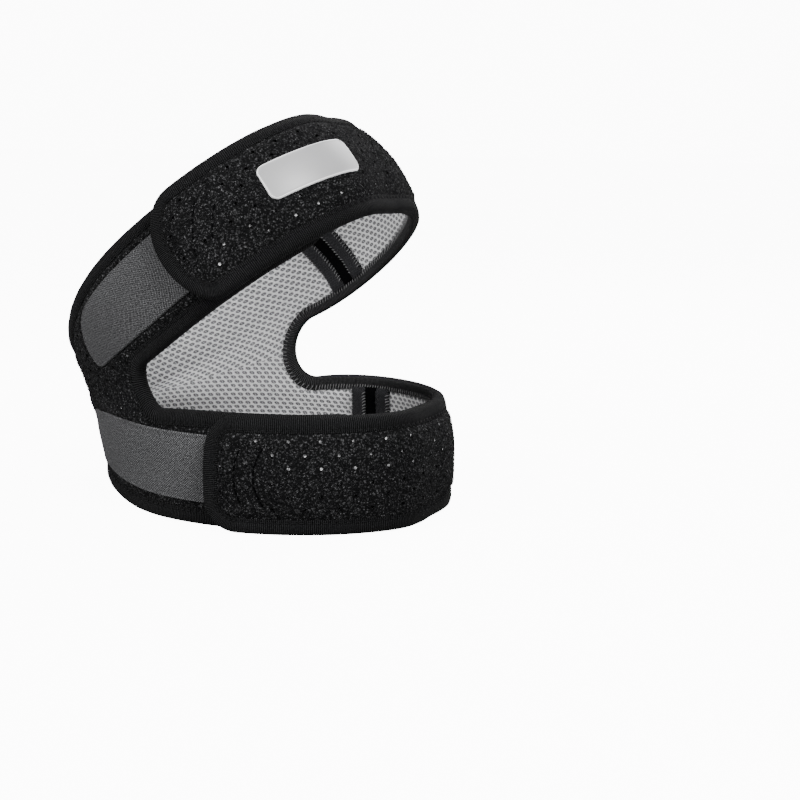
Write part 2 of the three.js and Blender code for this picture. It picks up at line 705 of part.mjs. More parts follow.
function laminatePieces() {
  const sheet = patternSheet();
  const foam = thickSheet(sheet.places, sheet.quads, (place) => {
    const faces = laminate(place);
    return [faces.foamOut, faces.foamIn];
  });
  const lining = thickSheet(sheet.places, sheet.quads, (place) => {
    const faces = laminate(place);
    return [faces.liningOut, faces.liningIn];
  });
  return [piece("padded_shell", "loopFabric", foam), piece("mesh_lining", "meshLining", lining)];
}

function tapePieces() {
  const runs = outlineRuns(0);
  return [
    piece("bottom_edge_tape", "edgeTape", tapeGeometry(runs.bottom)),
    piece("far_window_tape", "edgeTape", tapeGeometry(runs.farWindow)),
    piece("top_edge_tape", "edgeTape", tapeGeometry(runs.top)),
    piece("near_window_tape", "edgeTape", tapeGeometry(runs.nearWindow)),
  ];
}

function padPieces() {
  const from = HALF_THICKNESS - PATCH_SINK + CLEARANCE;
  const sizes = [
    {
      band: "lower",
      lower: true,
      width: LOWER_PAD_WIDTH,
      start: LOWER_PAD_START,
      outer: { corner: LOWER_PAD_OUTER_CORNER, taper: -PAD_OUTER_FLARE },
      inner: { corner: LOWER_PAD_INNER_CORNER, taper: LOWER_PAD_TAPER },
    },
    {
      band: "upper",
      lower: false,
      width: UPPER_PAD_WIDTH,
      start: UPPER_PAD_START,
      outer: { corner: UPPER_PAD_OUTER_CORNER, taper: -PAD_OUTER_FLARE },
      inner: { corner: UPPER_PAD_INNER_CORNER, taper: UPPER_PAD_TAPER },
    },
  ];
  const plain = { corner: PAD_CORNER_RADIUS, taper: 0 };
  return sizes.flatMap(({ band, lower, width, start, outer, inner }) => {
    const shared = { lower, width, margin: PAD_EDGE_MARGIN };
    const arm = lower ? ARMS.lowerShort : ARMS.upperShort;
    const strap = lower ? ARMS.lowerLong : ARMS.upperLong;
    const loopEnd = armEnd(arm, PAD_END_MARGIN).turn;
    const loop = { ...shared, outer, inner, start: -start, end: loopEnd, from, to: from + PATCH_THICKNESS };
    const hookTip = armEnd(strap, strap.corner[0] + PRESS_MARGIN).turn;
    const hook = {
      ...shared,
      outer: plain,
      inner: plain,
      start: hookTip,
      end: mix(LAP_SUNK_TURN, hookTip, HOOK_PAD_START_SHARE),
      from: -from - FACET_ALLOWANCE - PATCH_THICKNESS,
      to: -from - FACET_ALLOWANCE,
    };
    return [
      piece(`${band}_loop_pad`, "loopPad", padGeometry(loop)),
      piece(`${band}_hook_pad`, "hookPad", padGeometry(hook)),
    ];
  });
}

function crossStripPieces() {
  const strips = [
    { band: "upper", lower: false, middleTurn: UPPER_STRIP_TURN, leanTurn: UPPER_STRIP_LEAN },
    { band: "lower", lower: true, middleTurn: LOWER_STRIP_TURN, leanTurn: LOWER_STRIP_LEAN },
  ];
  return strips.flatMap(({ band, ...place }) => {
    const velvet = place.lower ? LOWER_VELVET_WIDTH : UPPER_VELVET_WIDTH;
    const reach = velvet / 2 + CLEARANCE + STRIP_FLAP_WIDTH / 2;
    const flap = { ...place, width: STRIP_FLAP_WIDTH, thickness: FLAP_THICKNESS };
    const channel = { ...place, width: velvet, thickness: VELVET_THICKNESS };
    return [
      piece(`${band}_back_flap`, "loopFabric", crossStripGeometry({ ...flap, offset: -reach })),
      piece(`${band}_front_flap`, "loopFabric", crossStripGeometry({ ...flap, offset: reach })),
      piece(`${band}_velvet_strip`, "velvet", crossStripGeometry({ ...channel, offset: 0 })),
    ];
  });
}

// The origin is under the middle of the strap's box, on the floor that its bottom tape stands on.
function centred(pieces) {
  const strap = new THREE.Group();
  strap.add(...pieces);
  const box = new THREE.Box3().setFromObject(strap, true);
  const middle = box.getCenter(new THREE.Vector3());
  strap.position.set(-middle.x, -middle.y, -box.min.z);
  const part = new THREE.Group();
  part.name = "patella_strap";
  part.add(strap);
  return part;
}

export default centred([
  ...laminatePieces(),
  ...tapePieces(),
  ...padPieces(),
  ...crossStripPieces(),
  piece("label", "label", labelGeometry()),
]);
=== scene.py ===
"""A patella strap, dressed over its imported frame.

The strap is one flat pattern of padded cloth laid on a wall that follows a bent knee. A place on it is a turn
round the leg in degrees (0 behind the knee, 180 in front, the far side positive), a way up the cloth from the
floor in millimetres, and a way out from the cloth's middle in millimetres. LegWall turns such places into
points, StrapPattern holds the cut, and every piece is a grid or a path of places.
"""

from __future__ import annotations

import logging
import math
from dataclasses import dataclass, field
from enum import Enum

import bpy
import numpy as np
from mathutils import Matrix

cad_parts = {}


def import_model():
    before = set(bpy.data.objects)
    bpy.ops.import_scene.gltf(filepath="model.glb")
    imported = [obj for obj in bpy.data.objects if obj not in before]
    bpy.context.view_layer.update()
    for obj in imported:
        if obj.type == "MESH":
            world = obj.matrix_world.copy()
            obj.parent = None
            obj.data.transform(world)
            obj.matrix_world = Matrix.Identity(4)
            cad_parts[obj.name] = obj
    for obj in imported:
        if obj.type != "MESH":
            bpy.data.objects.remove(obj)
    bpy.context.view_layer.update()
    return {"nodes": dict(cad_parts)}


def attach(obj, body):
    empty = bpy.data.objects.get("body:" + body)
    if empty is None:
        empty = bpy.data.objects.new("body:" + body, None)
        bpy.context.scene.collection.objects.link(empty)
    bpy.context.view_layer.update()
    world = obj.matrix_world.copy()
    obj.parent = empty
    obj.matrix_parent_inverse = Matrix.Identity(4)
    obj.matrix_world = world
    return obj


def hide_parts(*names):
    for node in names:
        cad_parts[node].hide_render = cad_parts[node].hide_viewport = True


MM = 0.001
LOG = logging.getLogger("patella_strap")
Array = np.ndarray
Color = tuple[float, float, float]

# The foam's crossed waves: radians per degree of turn, radians per millimetre of up, and where each begins.
LUMP_WAVES = ((0.21, 0.13, 0.0), (0.083, -0.27, 1.3), (0.37, 0.061, 4.0))
# How many places are measured against a line at a time.
NEAREST_BATCH = 3000
# The ways in from a patch's border, in millimetres, at which its rows stand close together.
SKIRT = np.array([0.0, 0.02, 0.12, 0.3, 0.55, 0.9, 1.4])
# How much of its radius a thread keeps at its two ends.
THREAD_END = 0.25
# The tape's slow waves in and out: millimetres deep, radians per millimetre of edge, and where each begins.
TAPE_WAVES = ((0.08, 0.19, 0.0), (0.05, 0.53, 1.0))
TEXTURE_LAYER = "UVMap"
CURL_COUNT = 9000
GRAIN_SEED = 2211
CURL_SEED = 7904


def smooth(x: Array) -> Array:
    """A soft step: 0 below 0, 1 above 1, and 3x^2 - 2x^3 between."""
    share = np.clip(x, 0.0, 1.0)
    return share * share * (3.0 - 2.0 * share)


def mix(start: Array, end: Array, share: Array) -> Array:
    """A straight blend from start to end."""
    return start + (end - start) * share


def raised_cosine(share: Array) -> Array:
    """1 at 0 and 0 from 1 on to either side: half of one plus the cosine of pi times the share."""
    return 0.5 * (1.0 + np.cos(np.pi * np.minimum(np.abs(share), 1.0)))


def rounding(count: int) -> Array:
    """Steps from 0 to 1 that start close together, as a quarter circle's do: one minus a cosine."""
    return 1.0 - np.cos(np.linspace(0.0, np.pi / 2.0, count))


def lumps(turn: Array, up: Array) -> Array:
    """Slow unevenness of hand-laid foam, from -1 to 1: the mean of its crossed waves."""
    waves = (np.sin(across * turn + along * up + begin) for across, along, begin in LUMP_WAVES)
    return sum(waves) / len(LUMP_WAVES)


@dataclass(frozen=True)
class LegWall:
    """The wall of the bent leg that the cloth lies on, in millimetres and degrees."""

    half_width: float = 55.0
    half_depth: float = 70.0
    front_fullness: float = 1.8
    bend_angle: float = 38.7
    hinge_standoff: float = 16.0
    lower_straight: float = 28.0
    upper_straight: float = 29.3
    width_growth: float = 8.3
    depth_growth: float = 6.8
    side_shift: float = 7.8
    lower_flare: float = 1.3
    lower_draw_in: float = 2.6
    lower_draw_start: float = 20.0
    upper_draw_in: float = 4.2
    barrel: float = 2.1
    barrel_start: float = 45.0
    barrel_rise: float = 60.0
    waist_fullness: float = 5.4
    waist_turn: float = 100.0
    waist_from: float = 4.0
    waist_to: float = 58.0
    billow: float = 3.8
    billow_turn: float = 225.0
    billow_reach: float = 46.0
    lower_band: float = 43.4
    upper_band: float = 46.3
    lap_lift: float = 5.95
    lap_full_turn: float = 207.0
    lap_rise_turn: float = 27.0
    axis_x: float = -4.755
    axis_y: float = -7.898

    def bend_radius(self, turn: Array) -> Array:
        """The lower ring's distance from the axis that the knee bends about."""
        pivot = self.half_depth + self.hinge_standoff
        return pivot - self.half_depth * np.cos(np.radians(turn))

    def bend_length(self, turn: Array) -> Array:
        """How much cloth lies in the bend: an arc of the bend's radius."""
        return self.bend_radius(turn) * math.radians(self.bend_angle)

    def height(self, turn: Array) -> Array:
        """The wall's whole length up the cloth."""
        return self.lower_straight + self.bend_length(turn) + self.upper_straight

    def middle(self, turn: Array) -> Array:
        """The way up to the middle of the bend."""
        return self.lower_straight + self.bend_length(turn) / 2.0

    def lap(self, turn: Array) -> Array:
        """How far the long straps stand off, so that they lie over the short arms."""
        return self.lap_lift * smooth((turn - self.lap_full_turn + self.lap_rise_turn) / self.lap_rise_turn)

    def fullness(self, turn: Array, up: Array, bent: Array) -> Array:
        """How far the wall swells or draws in from its plain tubes.

        Behind the knee it swells over the fold as a sine squared of the way up. The upper strap billows where
        it passes over the short arm's end, and the lower band's rim draws in as a square of the way up.
        """
        rise = np.clip((up - self.waist_from) / (self.waist_to - self.waist_from), 0.0, 1.0)
        waist = self.waist_fullness * raised_cosine(turn / self.waist_turn) * np.sin(np.pi * rise) ** 2
        billow = self.billow * raised_cosine((turn - self.billow_turn) / self.billow_reach) * bent
        rim = np.clip((up - self.lower_draw_start) / (self.lower_band - self.lower_draw_start), 0.0, 1.0) ** 2
        side = smooth((np.abs(turn) - self.barrel_start) / self.barrel_rise)
        return waist + billow - self.lower_draw_in * rim * side * (1.0 - bent)

    def point(self, turn: Array, up: Array, out: Array) -> Array:
        """Places as points in the row frame.

        The lower ring is an upright ellipse. Above it the wall turns about a level axis behind the knee,
        widening as it goes, and ends in a straight collar. The bands bulge a little across their width, by
        4w(1 - w) of `barrel`.

        Args:
            turn: turns round the leg, in degrees.
            up: ways up the cloth, in millimetres.
            out: ways out from the cloth's middle, in millimetres.

        Returns:
            Points in millimetres, with one more axis than the places.
        """
        turn, up, out = np.broadcast_arrays(np.asarray(turn, float), up, out)
        angle = np.radians(turn)
        bend = math.radians(self.bend_angle)
        pivot = self.half_depth + self.hinge_standoff
        below = np.minimum(up - self.lower_straight, 0.0)
        above = np.maximum(up - self.lower_straight - self.bend_length(turn), 0.0)
        swept = np.clip((up - self.lower_straight) / self.bend_radius(turn), 0.0, bend)
        bent = smooth(swept / bend)
        low = np.clip(up / self.lower_band, 0.0, 1.0)
        high = np.clip((self.height(turn) - up) / self.upper_band, 0.0, 1.0)
        bulge = smooth((np.abs(turn) - self.barrel_start) / self.barrel_rise)
        radial = self.barrel * bulge * 4.0 * (low * (1.0 - low) + high * (1.0 - high)) + self.lap(turn) + out
        radial = radial + self.lower_flare * (below / self.lower_straight) ** 2
        radial = radial - self.upper_draw_in * (above / self.upper_straight) ** 2
        radial = radial + self.fullness(turn, up, bent)
        half_width = self.half_width + self.width_growth * bent - self.front_fullness * np.cos(angle)
        half_depth = self.half_depth + self.depth_growth * bent
        to_pivot = pivot - (half_depth + radial) * np.cos(angle)
        x = (half_width + radial) * np.sin(angle) + self.side_shift * bent
        y = pivot - to_pivot * np.cos(swept) + above * np.sin(swept)
        z = self.lower_straight + to_pivot * np.sin(swept) + above * np.cos(swept) + below
        return np.stack([x + self.axis_x, y + self.axis_y, z], axis=-1)

    def units(self, turn: Array, up: Array) -> tuple[Array, Array]:
        """How points move over one degree of turn and over one millimetre of up."""
        across = self.point(turn + 0.5, up, 0.0) - self.point(turn - 0.5, up, 0.0)
        along = self.point(turn, up + 0.5, 0.0) - self.point(turn, up - 0.5, 0.0)
        return across, along

    def measure(self, turn: Array, up: Array) -> tuple[Array, Array, Array]:
        """The cloth's own measure at places, in millimetres: a degree's width and climb, and a unit of up."""
        across, along = self.units(turn, up)
        rise = np.linalg.norm(along, axis=-1)
        climb = np.sum(across * along, axis=-1) / rise
        width = np.sqrt(np.sum(across * across, axis=-1) - climb * climb)
        return width, climb, rise

    def span(self, turn: Array, up: Array, turned: Array, raised: Array) -> tuple[Array, Array]:
        """Steps of turn and up at places, as millimetres across and along the cloth's up lines."""
        width, climb, rise = self.measure(turn, up)
        return width * turned, climb * turned + rise * raised

    def moved(self, turn: Array, up: Array, right: Array, upward: Array) -> tuple[Array, Array]:
        """Places moved by millimetres across and along the cloth's up lines."""
        width, climb, rise = self.measure(turn, up)
        turned = right / width
        return turn + turned, up + (upward - climb * turned) / rise

    def outward(self, turn: Array, up: Array) -> Array:
        """Unit normals of the wall, pointing off the leg."""
        across, along = self.units(turn, up)
        normal = np.cross(along, across)
        return normal / np.linalg.norm(normal, axis=-1, keepdims=True)


class Arm(Enum):
    """The strap's four arms, each as its side (-1 near, 1 far) and whether it is in the lower band."""

    LOWER_SHORT = (-1, True)
    UPPER_SHORT = (-1, False)
    LOWER_LONG = (1, True)
    UPPER_LONG = (1, False)

    @property
    def side(self) -> int:
        """-1 on the near side, 1 on the far side."""
        return self.value[0]

    @property
    def lower(self) -> bool:
        """True in the band below the kneecap."""
        return self.value[1]


@dataclass(frozen=True)
class StrapPattern:
    """The flat cut of the cloth: two bands, the kneecap window's round ends and the arms' rounded corners."""

    wall: LegWall = LegWall()
    near_tip_turn: float = 72.5
    near_tip_radius: float = 5.0
    far_tip_turn: float = 72.0
    far_tip_radius: float = 9.7
    tip_blend: float = 40.0
    lower_edge_rise: float = 10.0
    lower_rise_turn: float = 79.4
    upper_edge_dip: float = 10.0
    upper_dip_turn: float = 84.6
    short_end: float = 150.0
    lower_end: float = 264.0
    upper_end: float = 258.0
    corner_radius: float = 13.0
    upper_end_length: float = 16.0
    upper_end_height: float = 22.0
    panel_run: float = 150.0
    round_steps: int = 10

    def tip(self, side: int) -> tuple[float, float]:
        """The turn and radius of the window's round end on a side."""
        if side < 0:
            return self.near_tip_turn, self.near_tip_radius
        return self.far_tip_turn, self.far_tip_radius

    def tip_scale(self, side: int) -> float:
        """Millimetres per degree at a window tip."""
        turn = side * self.tip(side)[0]
        return float(self.wall.measure(turn, self.wall.middle(turn))[0])

    def tip_turn(self, side: int, inset: float) -> float:
        """The turn of the window's tip once its outline is drawn in."""
        return side * (self.tip(side)[0] - inset / self.tip_scale(side))

    def edges(self, turn: Array, inset: float = 0.0) -> tuple[Array, Array, Array, Array]:
        """The bottom edge, the window's low and high edge, and the top edge, each drawn in by `inset`.

        The window opens from a quarter circle at its tip to the bands' straight edges. Its half height is
        sqrt(1 - (1 - past/radius)^2) times the root of the straight half height and the fading radius, each
        squared.
        """
        turn = np.asarray(turn, float)
        near = turn < 0.0
        radius = np.where(near, self.near_tip_radius, self.far_tip_radius) + inset
        tip = np.where(near, self.near_tip_turn, self.far_tip_turn)
        scale = np.where(near, self.tip_scale(-1), self.tip_scale(1))
        past = (np.abs(turn) - tip) * scale + inset
        middle = self.wall.middle(turn)
        height = self.wall.height(turn)
        opened = np.sqrt(1.0 - (1.0 - np.clip(past / radius, 0.0, 1.0)) ** 2)
        fading = radius * radius * np.exp(-np.maximum(past - radius, 0.0) / self.tip_blend)
        low_gap = np.maximum(middle - self.wall.lower_band + inset, 0.0)
        high_gap = np.maximum(height - middle - self.wall.upper_band + inset, 0.0)
        low_half, high_half = (opened * np.sqrt(gap**2 + fading) for gap in (low_gap, high_gap))
        bottom = self.lower_edge_rise * raised_cosine(turn / self.lower_rise_turn) + inset
        top = height - self.upper_edge_dip * raised_cosine(turn / self.upper_dip_turn) - inset
        return bottom, middle - low_half, middle + high_half, top

    def arm_end(self, arm: Arm, inset: float = 0.0) -> tuple[float, float]:
        """The turn of an arm's end, and millimetres per degree there."""
        ends = {Arm.LOWER_LONG: self.lower_end, Arm.UPPER_LONG: self.upper_end}
        turn = arm.side * ends.get(arm, self.short_end)
        bottom, low, high, top = self.edges(turn)
        up = (bottom + low) / 2.0 if arm.lower else (high + top) / 2.0
        scale = float(self.wall.measure(turn, up)[0])
        return turn - arm.side * inset / scale, scale

    def corner(self, arm: Arm) -> tuple[float, float]:
        """The length and height of the quarter-ellipse corners at an arm's end."""
        if arm is Arm.UPPER_LONG:
            return self.upper_end_length, self.upper_end_height
        return self.corner_radius, self.corner_radius

    def arm_edges(self, arm: Arm, turn: Array, inset: float = 0.0) -> tuple[Array, Array]:
        """An arm's two long edges at turns, with the quarter-ellipse corners of its end."""
        bottom, low, high, top = self.edges(turn, inset)
        start, end = (bottom, low) if arm.lower else (high, top)
        end_turn, scale = self.arm_end(arm, inset)
        length, height = (size - inset for size in self.corner(arm))
        share = np.clip(arm.side * (end_turn - np.asarray(turn, float)) * scale / length, 0.0, 1.0)
        lost = height * (1.0 - np.sqrt(1.0 - (1.0 - share) ** 2))
        return start + lost, end - lost

    def arm_turns(self, arm: Arm, inset: float, pitch: float) -> Array:
        """Turns from the window's tip to an arm's end, closer together where the outline is round."""
        start = self.tip_turn(arm.side, inset)
        end, scale = self.arm_end(arm, inset)
        steps = rounding(self.round_steps)
        tip = start + arm.side * (self.tip(arm.side)[1] + inset) * steps / self.tip_scale(arm.side)
        corner = end - arm.side * (self.corner(arm)[0] - inset) * steps[::-1] / scale
        count = max(int(abs(corner[0] - tip[-1]) * scale / pitch), 2)
        between = np.linspace(tip[-1], corner[0], count + 1)[1:-1]
        return np.concatenate([tip, between, corner])

    def outline(self, pitch: float) -> tuple[Array, Array]:
        """The whole cut edge as one closed line of places: floor edge, far window, top edge, near window."""

        def edge(arm: Arm, which: int) -> Array:
            turns = self.arm_turns(arm, 0.0, pitch)
            return np.stack([turns, self.arm_edges(arm, turns)[which]], axis=-1)

        panel = np.linspace(self.tip_turn(-1, 0.0), self.tip_turn(1, 0.0), int(self.panel_run / pitch))[1:-1]
        floor = np.stack([panel, self.edges(panel)[0]], axis=-1)
        ceiling = np.stack([panel, self.edges(panel)[3]], axis=-1)[::-1]
        line = np.concatenate(
            [
                edge(Arm.LOWER_SHORT, 0)[::-1],
                floor,
                edge(Arm.LOWER_LONG, 0),
                edge(Arm.LOWER_LONG, 1)[::-1],
                edge(Arm.UPPER_LONG, 0)[1:],
                edge(Arm.UPPER_LONG, 1)[::-1],
                ceiling,
                edge(Arm.UPPER_SHORT, 1),
                edge(Arm.UPPER_SHORT, 0)[::-1],
                edge(Arm.LOWER_SHORT, 1)[1:],
            ]
        )
        return line[:, 0], line[:, 1]

    def nearest(self, turn: Array, up: Array, line: tuple[Array, Array]) -> Array:
        """How far places are from a line of places, in millimetres of cloth.

        Each place measures every point of the line with its own local measure, a batch of places at a time.
        """
        found = np.empty(turn.shape)
        for start in range(0, turn.size, NEAREST_BATCH):
            part = slice(start, start + NEAREST_BATCH)
            here_turn, here_up = turn[part, None], up[part, None]
            right, upward = self.wall.span(here_turn, here_up, line[0] - here_turn, line[1] - here_up)
            found[part] = np.sqrt(np.min(right * right + upward * upward, axis=1))
        return found


@dataclass
class ClothGrid:
    """A sheet cut to the pattern: two grids of vertices, one per band, that share the panel's middle row."""

    pattern: StrapPattern
    inset: float
    pitch: float
    turn: Array = field(init=False)
    up: Array = field(init=False)
    lower: Array = field(init=False)
    upper: Array = field(init=False)

    def __post_init__(self) -> None:
        """Lays out the places. A column's rows share out the way between its two edges evenly."""
        near, far = (self.pattern.tip_turn(side, self.inset) for side in (-1, 1))
        panel = np.linspace(near, far, int((far - near) / self.pitch))[1:-1]
        lower_turn, lower_up, _ = self._band(Arm.LOWER_SHORT, Arm.LOWER_LONG, panel)
        upper_turn, upper_up, arm_count = self._band(Arm.UPPER_SHORT, Arm.UPPER_LONG, panel)
        self.lower = np.arange(lower_turn.size).reshape(lower_turn.shape)
        self.upper = lower_turn.size + np.arange(upper_turn.size).reshape(upper_turn.shape)
        lower_count = len(self.pattern.arm_turns(Arm.LOWER_SHORT, self.inset, self.pitch))
        shared = slice(arm_count - 1, arm_count + len(panel) + 1)
        self.upper[shared, 0] = self.lower[lower_count - 1 : lower_count + len(panel) + 1, -1]
        self.turn = np.concatenate([lower_turn.ravel(), upper_turn.ravel()])
        self.up = np.concatenate([lower_up.ravel(), upper_up.ravel()])

    def _band(self, short: Arm, long: Arm, panel: Array) -> tuple[Array, Array, int]:
        """The turns and ups of one band's grid, columns first, and how many columns its short arm has."""
        pattern = self.pattern
        short_turns = pattern.arm_turns(short, self.inset, self.pitch)[::-1]
        long_turns = pattern.arm_turns(long, self.inset, self.pitch)
        bottom, _, _, top = pattern.edges(panel, self.inset)
        middle = pattern.wall.middle(panel)
        panel_edges = (bottom, middle) if short.lower else (middle, top)
        groups = [pattern.arm_edges(short, short_turns, self.inset), panel_edges]
        groups.append(pattern.arm_edges(long, long_turns, self.inset))
        start, end = (np.concatenate(side) for side in zip(*groups))
        turns = np.concatenate([short_turns, panel, long_turns])
        width = pattern.wall.lower_band if short.lower else pattern.wall.upper_band
        share = np.linspace(0.0, 1.0, int(width / self.pitch) + 1)
        up = start[:, None] + (end - start)[:, None] * share[None, :]
        return np.repeat(turns[:, None], len(share), axis=1), up, len(short_turns)

    def flat(self, along: Array) -> tuple[Array, Array]:
        """Texture places in millimetres: along the band, and across it from its own outer edge."""
        drop = self.up - self.pattern.wall.height(self.turn)
        return np.stack([along, self.up], axis=-1), np.stack([along, drop], axis=-1)


class FlatLength:
    """Millimetres along the cloth from the back of the knee, the mean of the two bands' middles."""

    def __init__(self, wall: LegWall, first: float = -170.0, last: float = 285.0, step: float = 0.5) -> None:
        """Adds up the mean of the bands' widths, a step of turn at a time."""
        self.turns = np.arange(first, last, step)
        lower = wall.measure(self.turns, np.full_like(self.turns, wall.lower_band / 2.0))[0]
        upper = wall.measure(self.turns, wall.height(self.turns) - wall.upper_band / 2.0)[0]
        total = np.cumsum((lower + upper) / 2.0 * step)
        self.lengths = total - np.interp(0.0, self.turns, total)

    def length(self, turn: Array) -> Array:
        """Millimetres along at turns."""
        return np.interp(turn, self.turns, self.lengths)

    def turn(self, length: Array) -> Array:
        """Turns at millimetres along."""
        return np.interp(length, self.lengths, self.turns)


class EdgeLine:
    """The cut edge as a closed line at even steps, with the way inward at each."""

    def __init__(self, pattern: StrapPattern, pitch: float, outline_pitch: float = 0.6) -> None:
        """Walks the outline, takes places at even lengths, and squares the way in to their neighbours."""
        self.wall = pattern.wall
        turn, up = pattern.outline(outline_pitch)
        turn, up = np.append(turn, turn[0]), np.append(up, up[0])
        steps = np.linalg.norm(np.diff(self.wall.point(turn, up, 0.0), axis=0), axis=-1)
        length = np.concatenate([[0.0], np.cumsum(steps)])
        self.total = float(length[-1])
        self.count = int(self.total / pitch)
        self.at = np.arange(self.count) * self.total / self.count
        self.turn = np.interp(self.at, length, turn)
        self.up = np.interp(self.at, length, up)
        across = (np.roll(line, -1) - np.roll(line, 1) for line in (self.turn, self.up))
        right, upward = (self._eased(value) for value in self.wall.span(self.turn, self.up, *across))
        size = np.hypot(right, upward)
        self.inward = np.stack([-upward / size, right / size], axis=-1)

    @staticmethod
    def _eased(values: Array) -> Array:
        """A closed row of values averaged with its neighbours, so that the tape turns corners softly."""
        shifts = (2, 1, 0, -1, -2)
        return sum(np.roll(values, shift) for shift in shifts) / len(shifts)

    def place(self, at: Array, inward: Array) -> tuple[Array, Array]:
        """Places `inward` millimetres in from the edge at lengths along it."""
        at, inward = np.broadcast_arrays(np.asarray(at, float) % self.total, inward)
        ring = np.append(self.at, self.total)
        turn, up, right, upward = (
            np.interp(at, ring, np.append(row, row[0]))
            for row in (self.turn, self.up, self.inward[:, 0], self.inward[:, 1])
        )
        return self.wall.moved(turn, up, right * inward, upward * inward)


def grid_quads(index: Array, inward: bool = False) -> Array:
    """The quads of a grid of vertex numbers, columns first, facing off the leg or towards it."""
    corners = [index[:-1, :-1], index[:-1, 1:], index[1:, 1:], index[1:, :-1]]
    quads = np.stack(corners, axis=-1).reshape(-1, 4)
    quads = quads[:, ::-1] if inward else quads
    return quads[np.array([len(set(quad)) > 2 for quad in quads.tolist()])]


def tube_quads(index: Array) -> Array:
    """The quads of a grid of numbers, stations first, facing out of a section that is carried along them."""
    corners = [index[:-1, :-1], index[1:, :-1], index[1:, 1:], index[:-1, 1:]]
    return np.stack(corners, axis=-1).reshape(-1, 4)


@dataclass
class FaceSet:
    """Faces of one material that read one set of texture places."""

    faces: Array
    uv: Array
    material: int = 0


def make_object(
    name: str, points: Array, sets: list[FaceSet], materials: list[bpy.types.Material]
) -> bpy.types.Object:
    """A smooth mesh object at the origin.

    Args:
        name: the piece's name.
        points: vertices in millimetres.
        sets: its faces, with a texture place for every vertex.
        materials: its material slots.

    Returns:
        The linked object.
    """
    mesh = bpy.data.meshes.new(name)
    faces = [face for group in sets for face in group.faces.tolist()]
    mesh.from_pydata((points * MM).tolist(), [], faces)
    layer = mesh.uv_layers.new(name=TEXTURE_LAYER)
    flat = np.concatenate([group.uv[group.faces.ravel()] for group in sets])
    layer.data.foreach_set("uv", flat.astype(np.float32).ravel())
    slots = np.concatenate([np.full(len(group.faces), group.material) for group in sets])
    for material in materials:
        mesh.materials.append(material)
    mesh.polygons.foreach_set("material_index", slots.astype(np.int32))
    mesh.polygons.foreach_set("use_smooth", np.ones(len(slots), dtype=bool))
    mesh.update()
    piece = bpy.data.objects.new(name, mesh)
    bpy.context.scene.collection.objects.link(piece)
    return piece


def sheet_object(
    name: str, points: Array, flat: tuple[Array, Array], material: bpy.types.Material, inward: bool
) -> bpy.types.Object:
    """A grid of points as one sheet.

    Args:
        name: the piece's name.
        points: a grid of points in millimetres, (columns, rows, 3).
        flat: the grid's two texture places, each (columns, rows).
        material: its finish.
        inward: whether its faces point towards the leg.

    Returns:
        The linked object.
    """
    faces = grid_quads(np.arange(flat[0].size).reshape(flat[0].shape), inward)
    uv = np.stack([place.ravel() for place in flat], axis=-1)
    return make_object(name, points.reshape(-1, 3), [FaceSet(faces, uv)], [material])


def thread_object(
    name: str, paths: Array, side: Array, radius: float, sides: int, material: bpy.types.Material
) -> bpy.types.Object:
    """Many short threads as one mesh: a small ring carried along each path, its end rings drawn together.

    Args:
        name: the piece's name.
        paths: points in millimetres, (threads, points, 3).
        side: a direction for each thread that its path never runs along, (threads, 3).
        radius: the thread's radius in millimetres.
        sides: how many sides a thread has.
        material: its finish.

    Returns:
        The linked object.
    """
    count, steps = paths.shape[:2]
    along = np.gradient(paths, axis=1)
    along /= np.linalg.norm(along, axis=-1, keepdims=True)
    first = np.cross(along, side[:, None, :])
    first /= np.linalg.norm(first, axis=-1, keepdims=True)
    second = np.cross(along, first)
    angle = np.arange(sides) * 2.0 * np.pi / sides
    size = np.full(steps, radius)
    size[[0, -1]] *= THREAD_END
    ring = np.cos(angle)[:, None] * first[:, :, None, :] + np.sin(angle)[:, None] * second[:, :, None, :]
    points = paths[:, :, None, :] + size[None, :, None, None] * ring
    index = np.arange(count * steps * sides).reshape(count, steps, sides)
    start, end = index[:, :-1], index[:, 1:]
    corners = [start, np.roll(start, -1, axis=2), np.roll(end, -1, axis=2), end]
    quads = np.stack(corners, axis=-1).reshape(-1, 4)
    share = np.broadcast_to(np.linspace(0.0, 1.0, steps)[None, :, None], index.shape)
    number = np.broadcast_to(np.arange(count)[:, None, None], index.shape)
    uv = np.stack([share.ravel(), number.ravel()], axis=-1).astype(float)
    caps = np.concatenate([index[:, 0, ::-1], index[:, -1]])
    return make_object(name, points.reshape(-1, 3), [FaceSet(quads, uv), FaceSet(caps, uv)], [material])


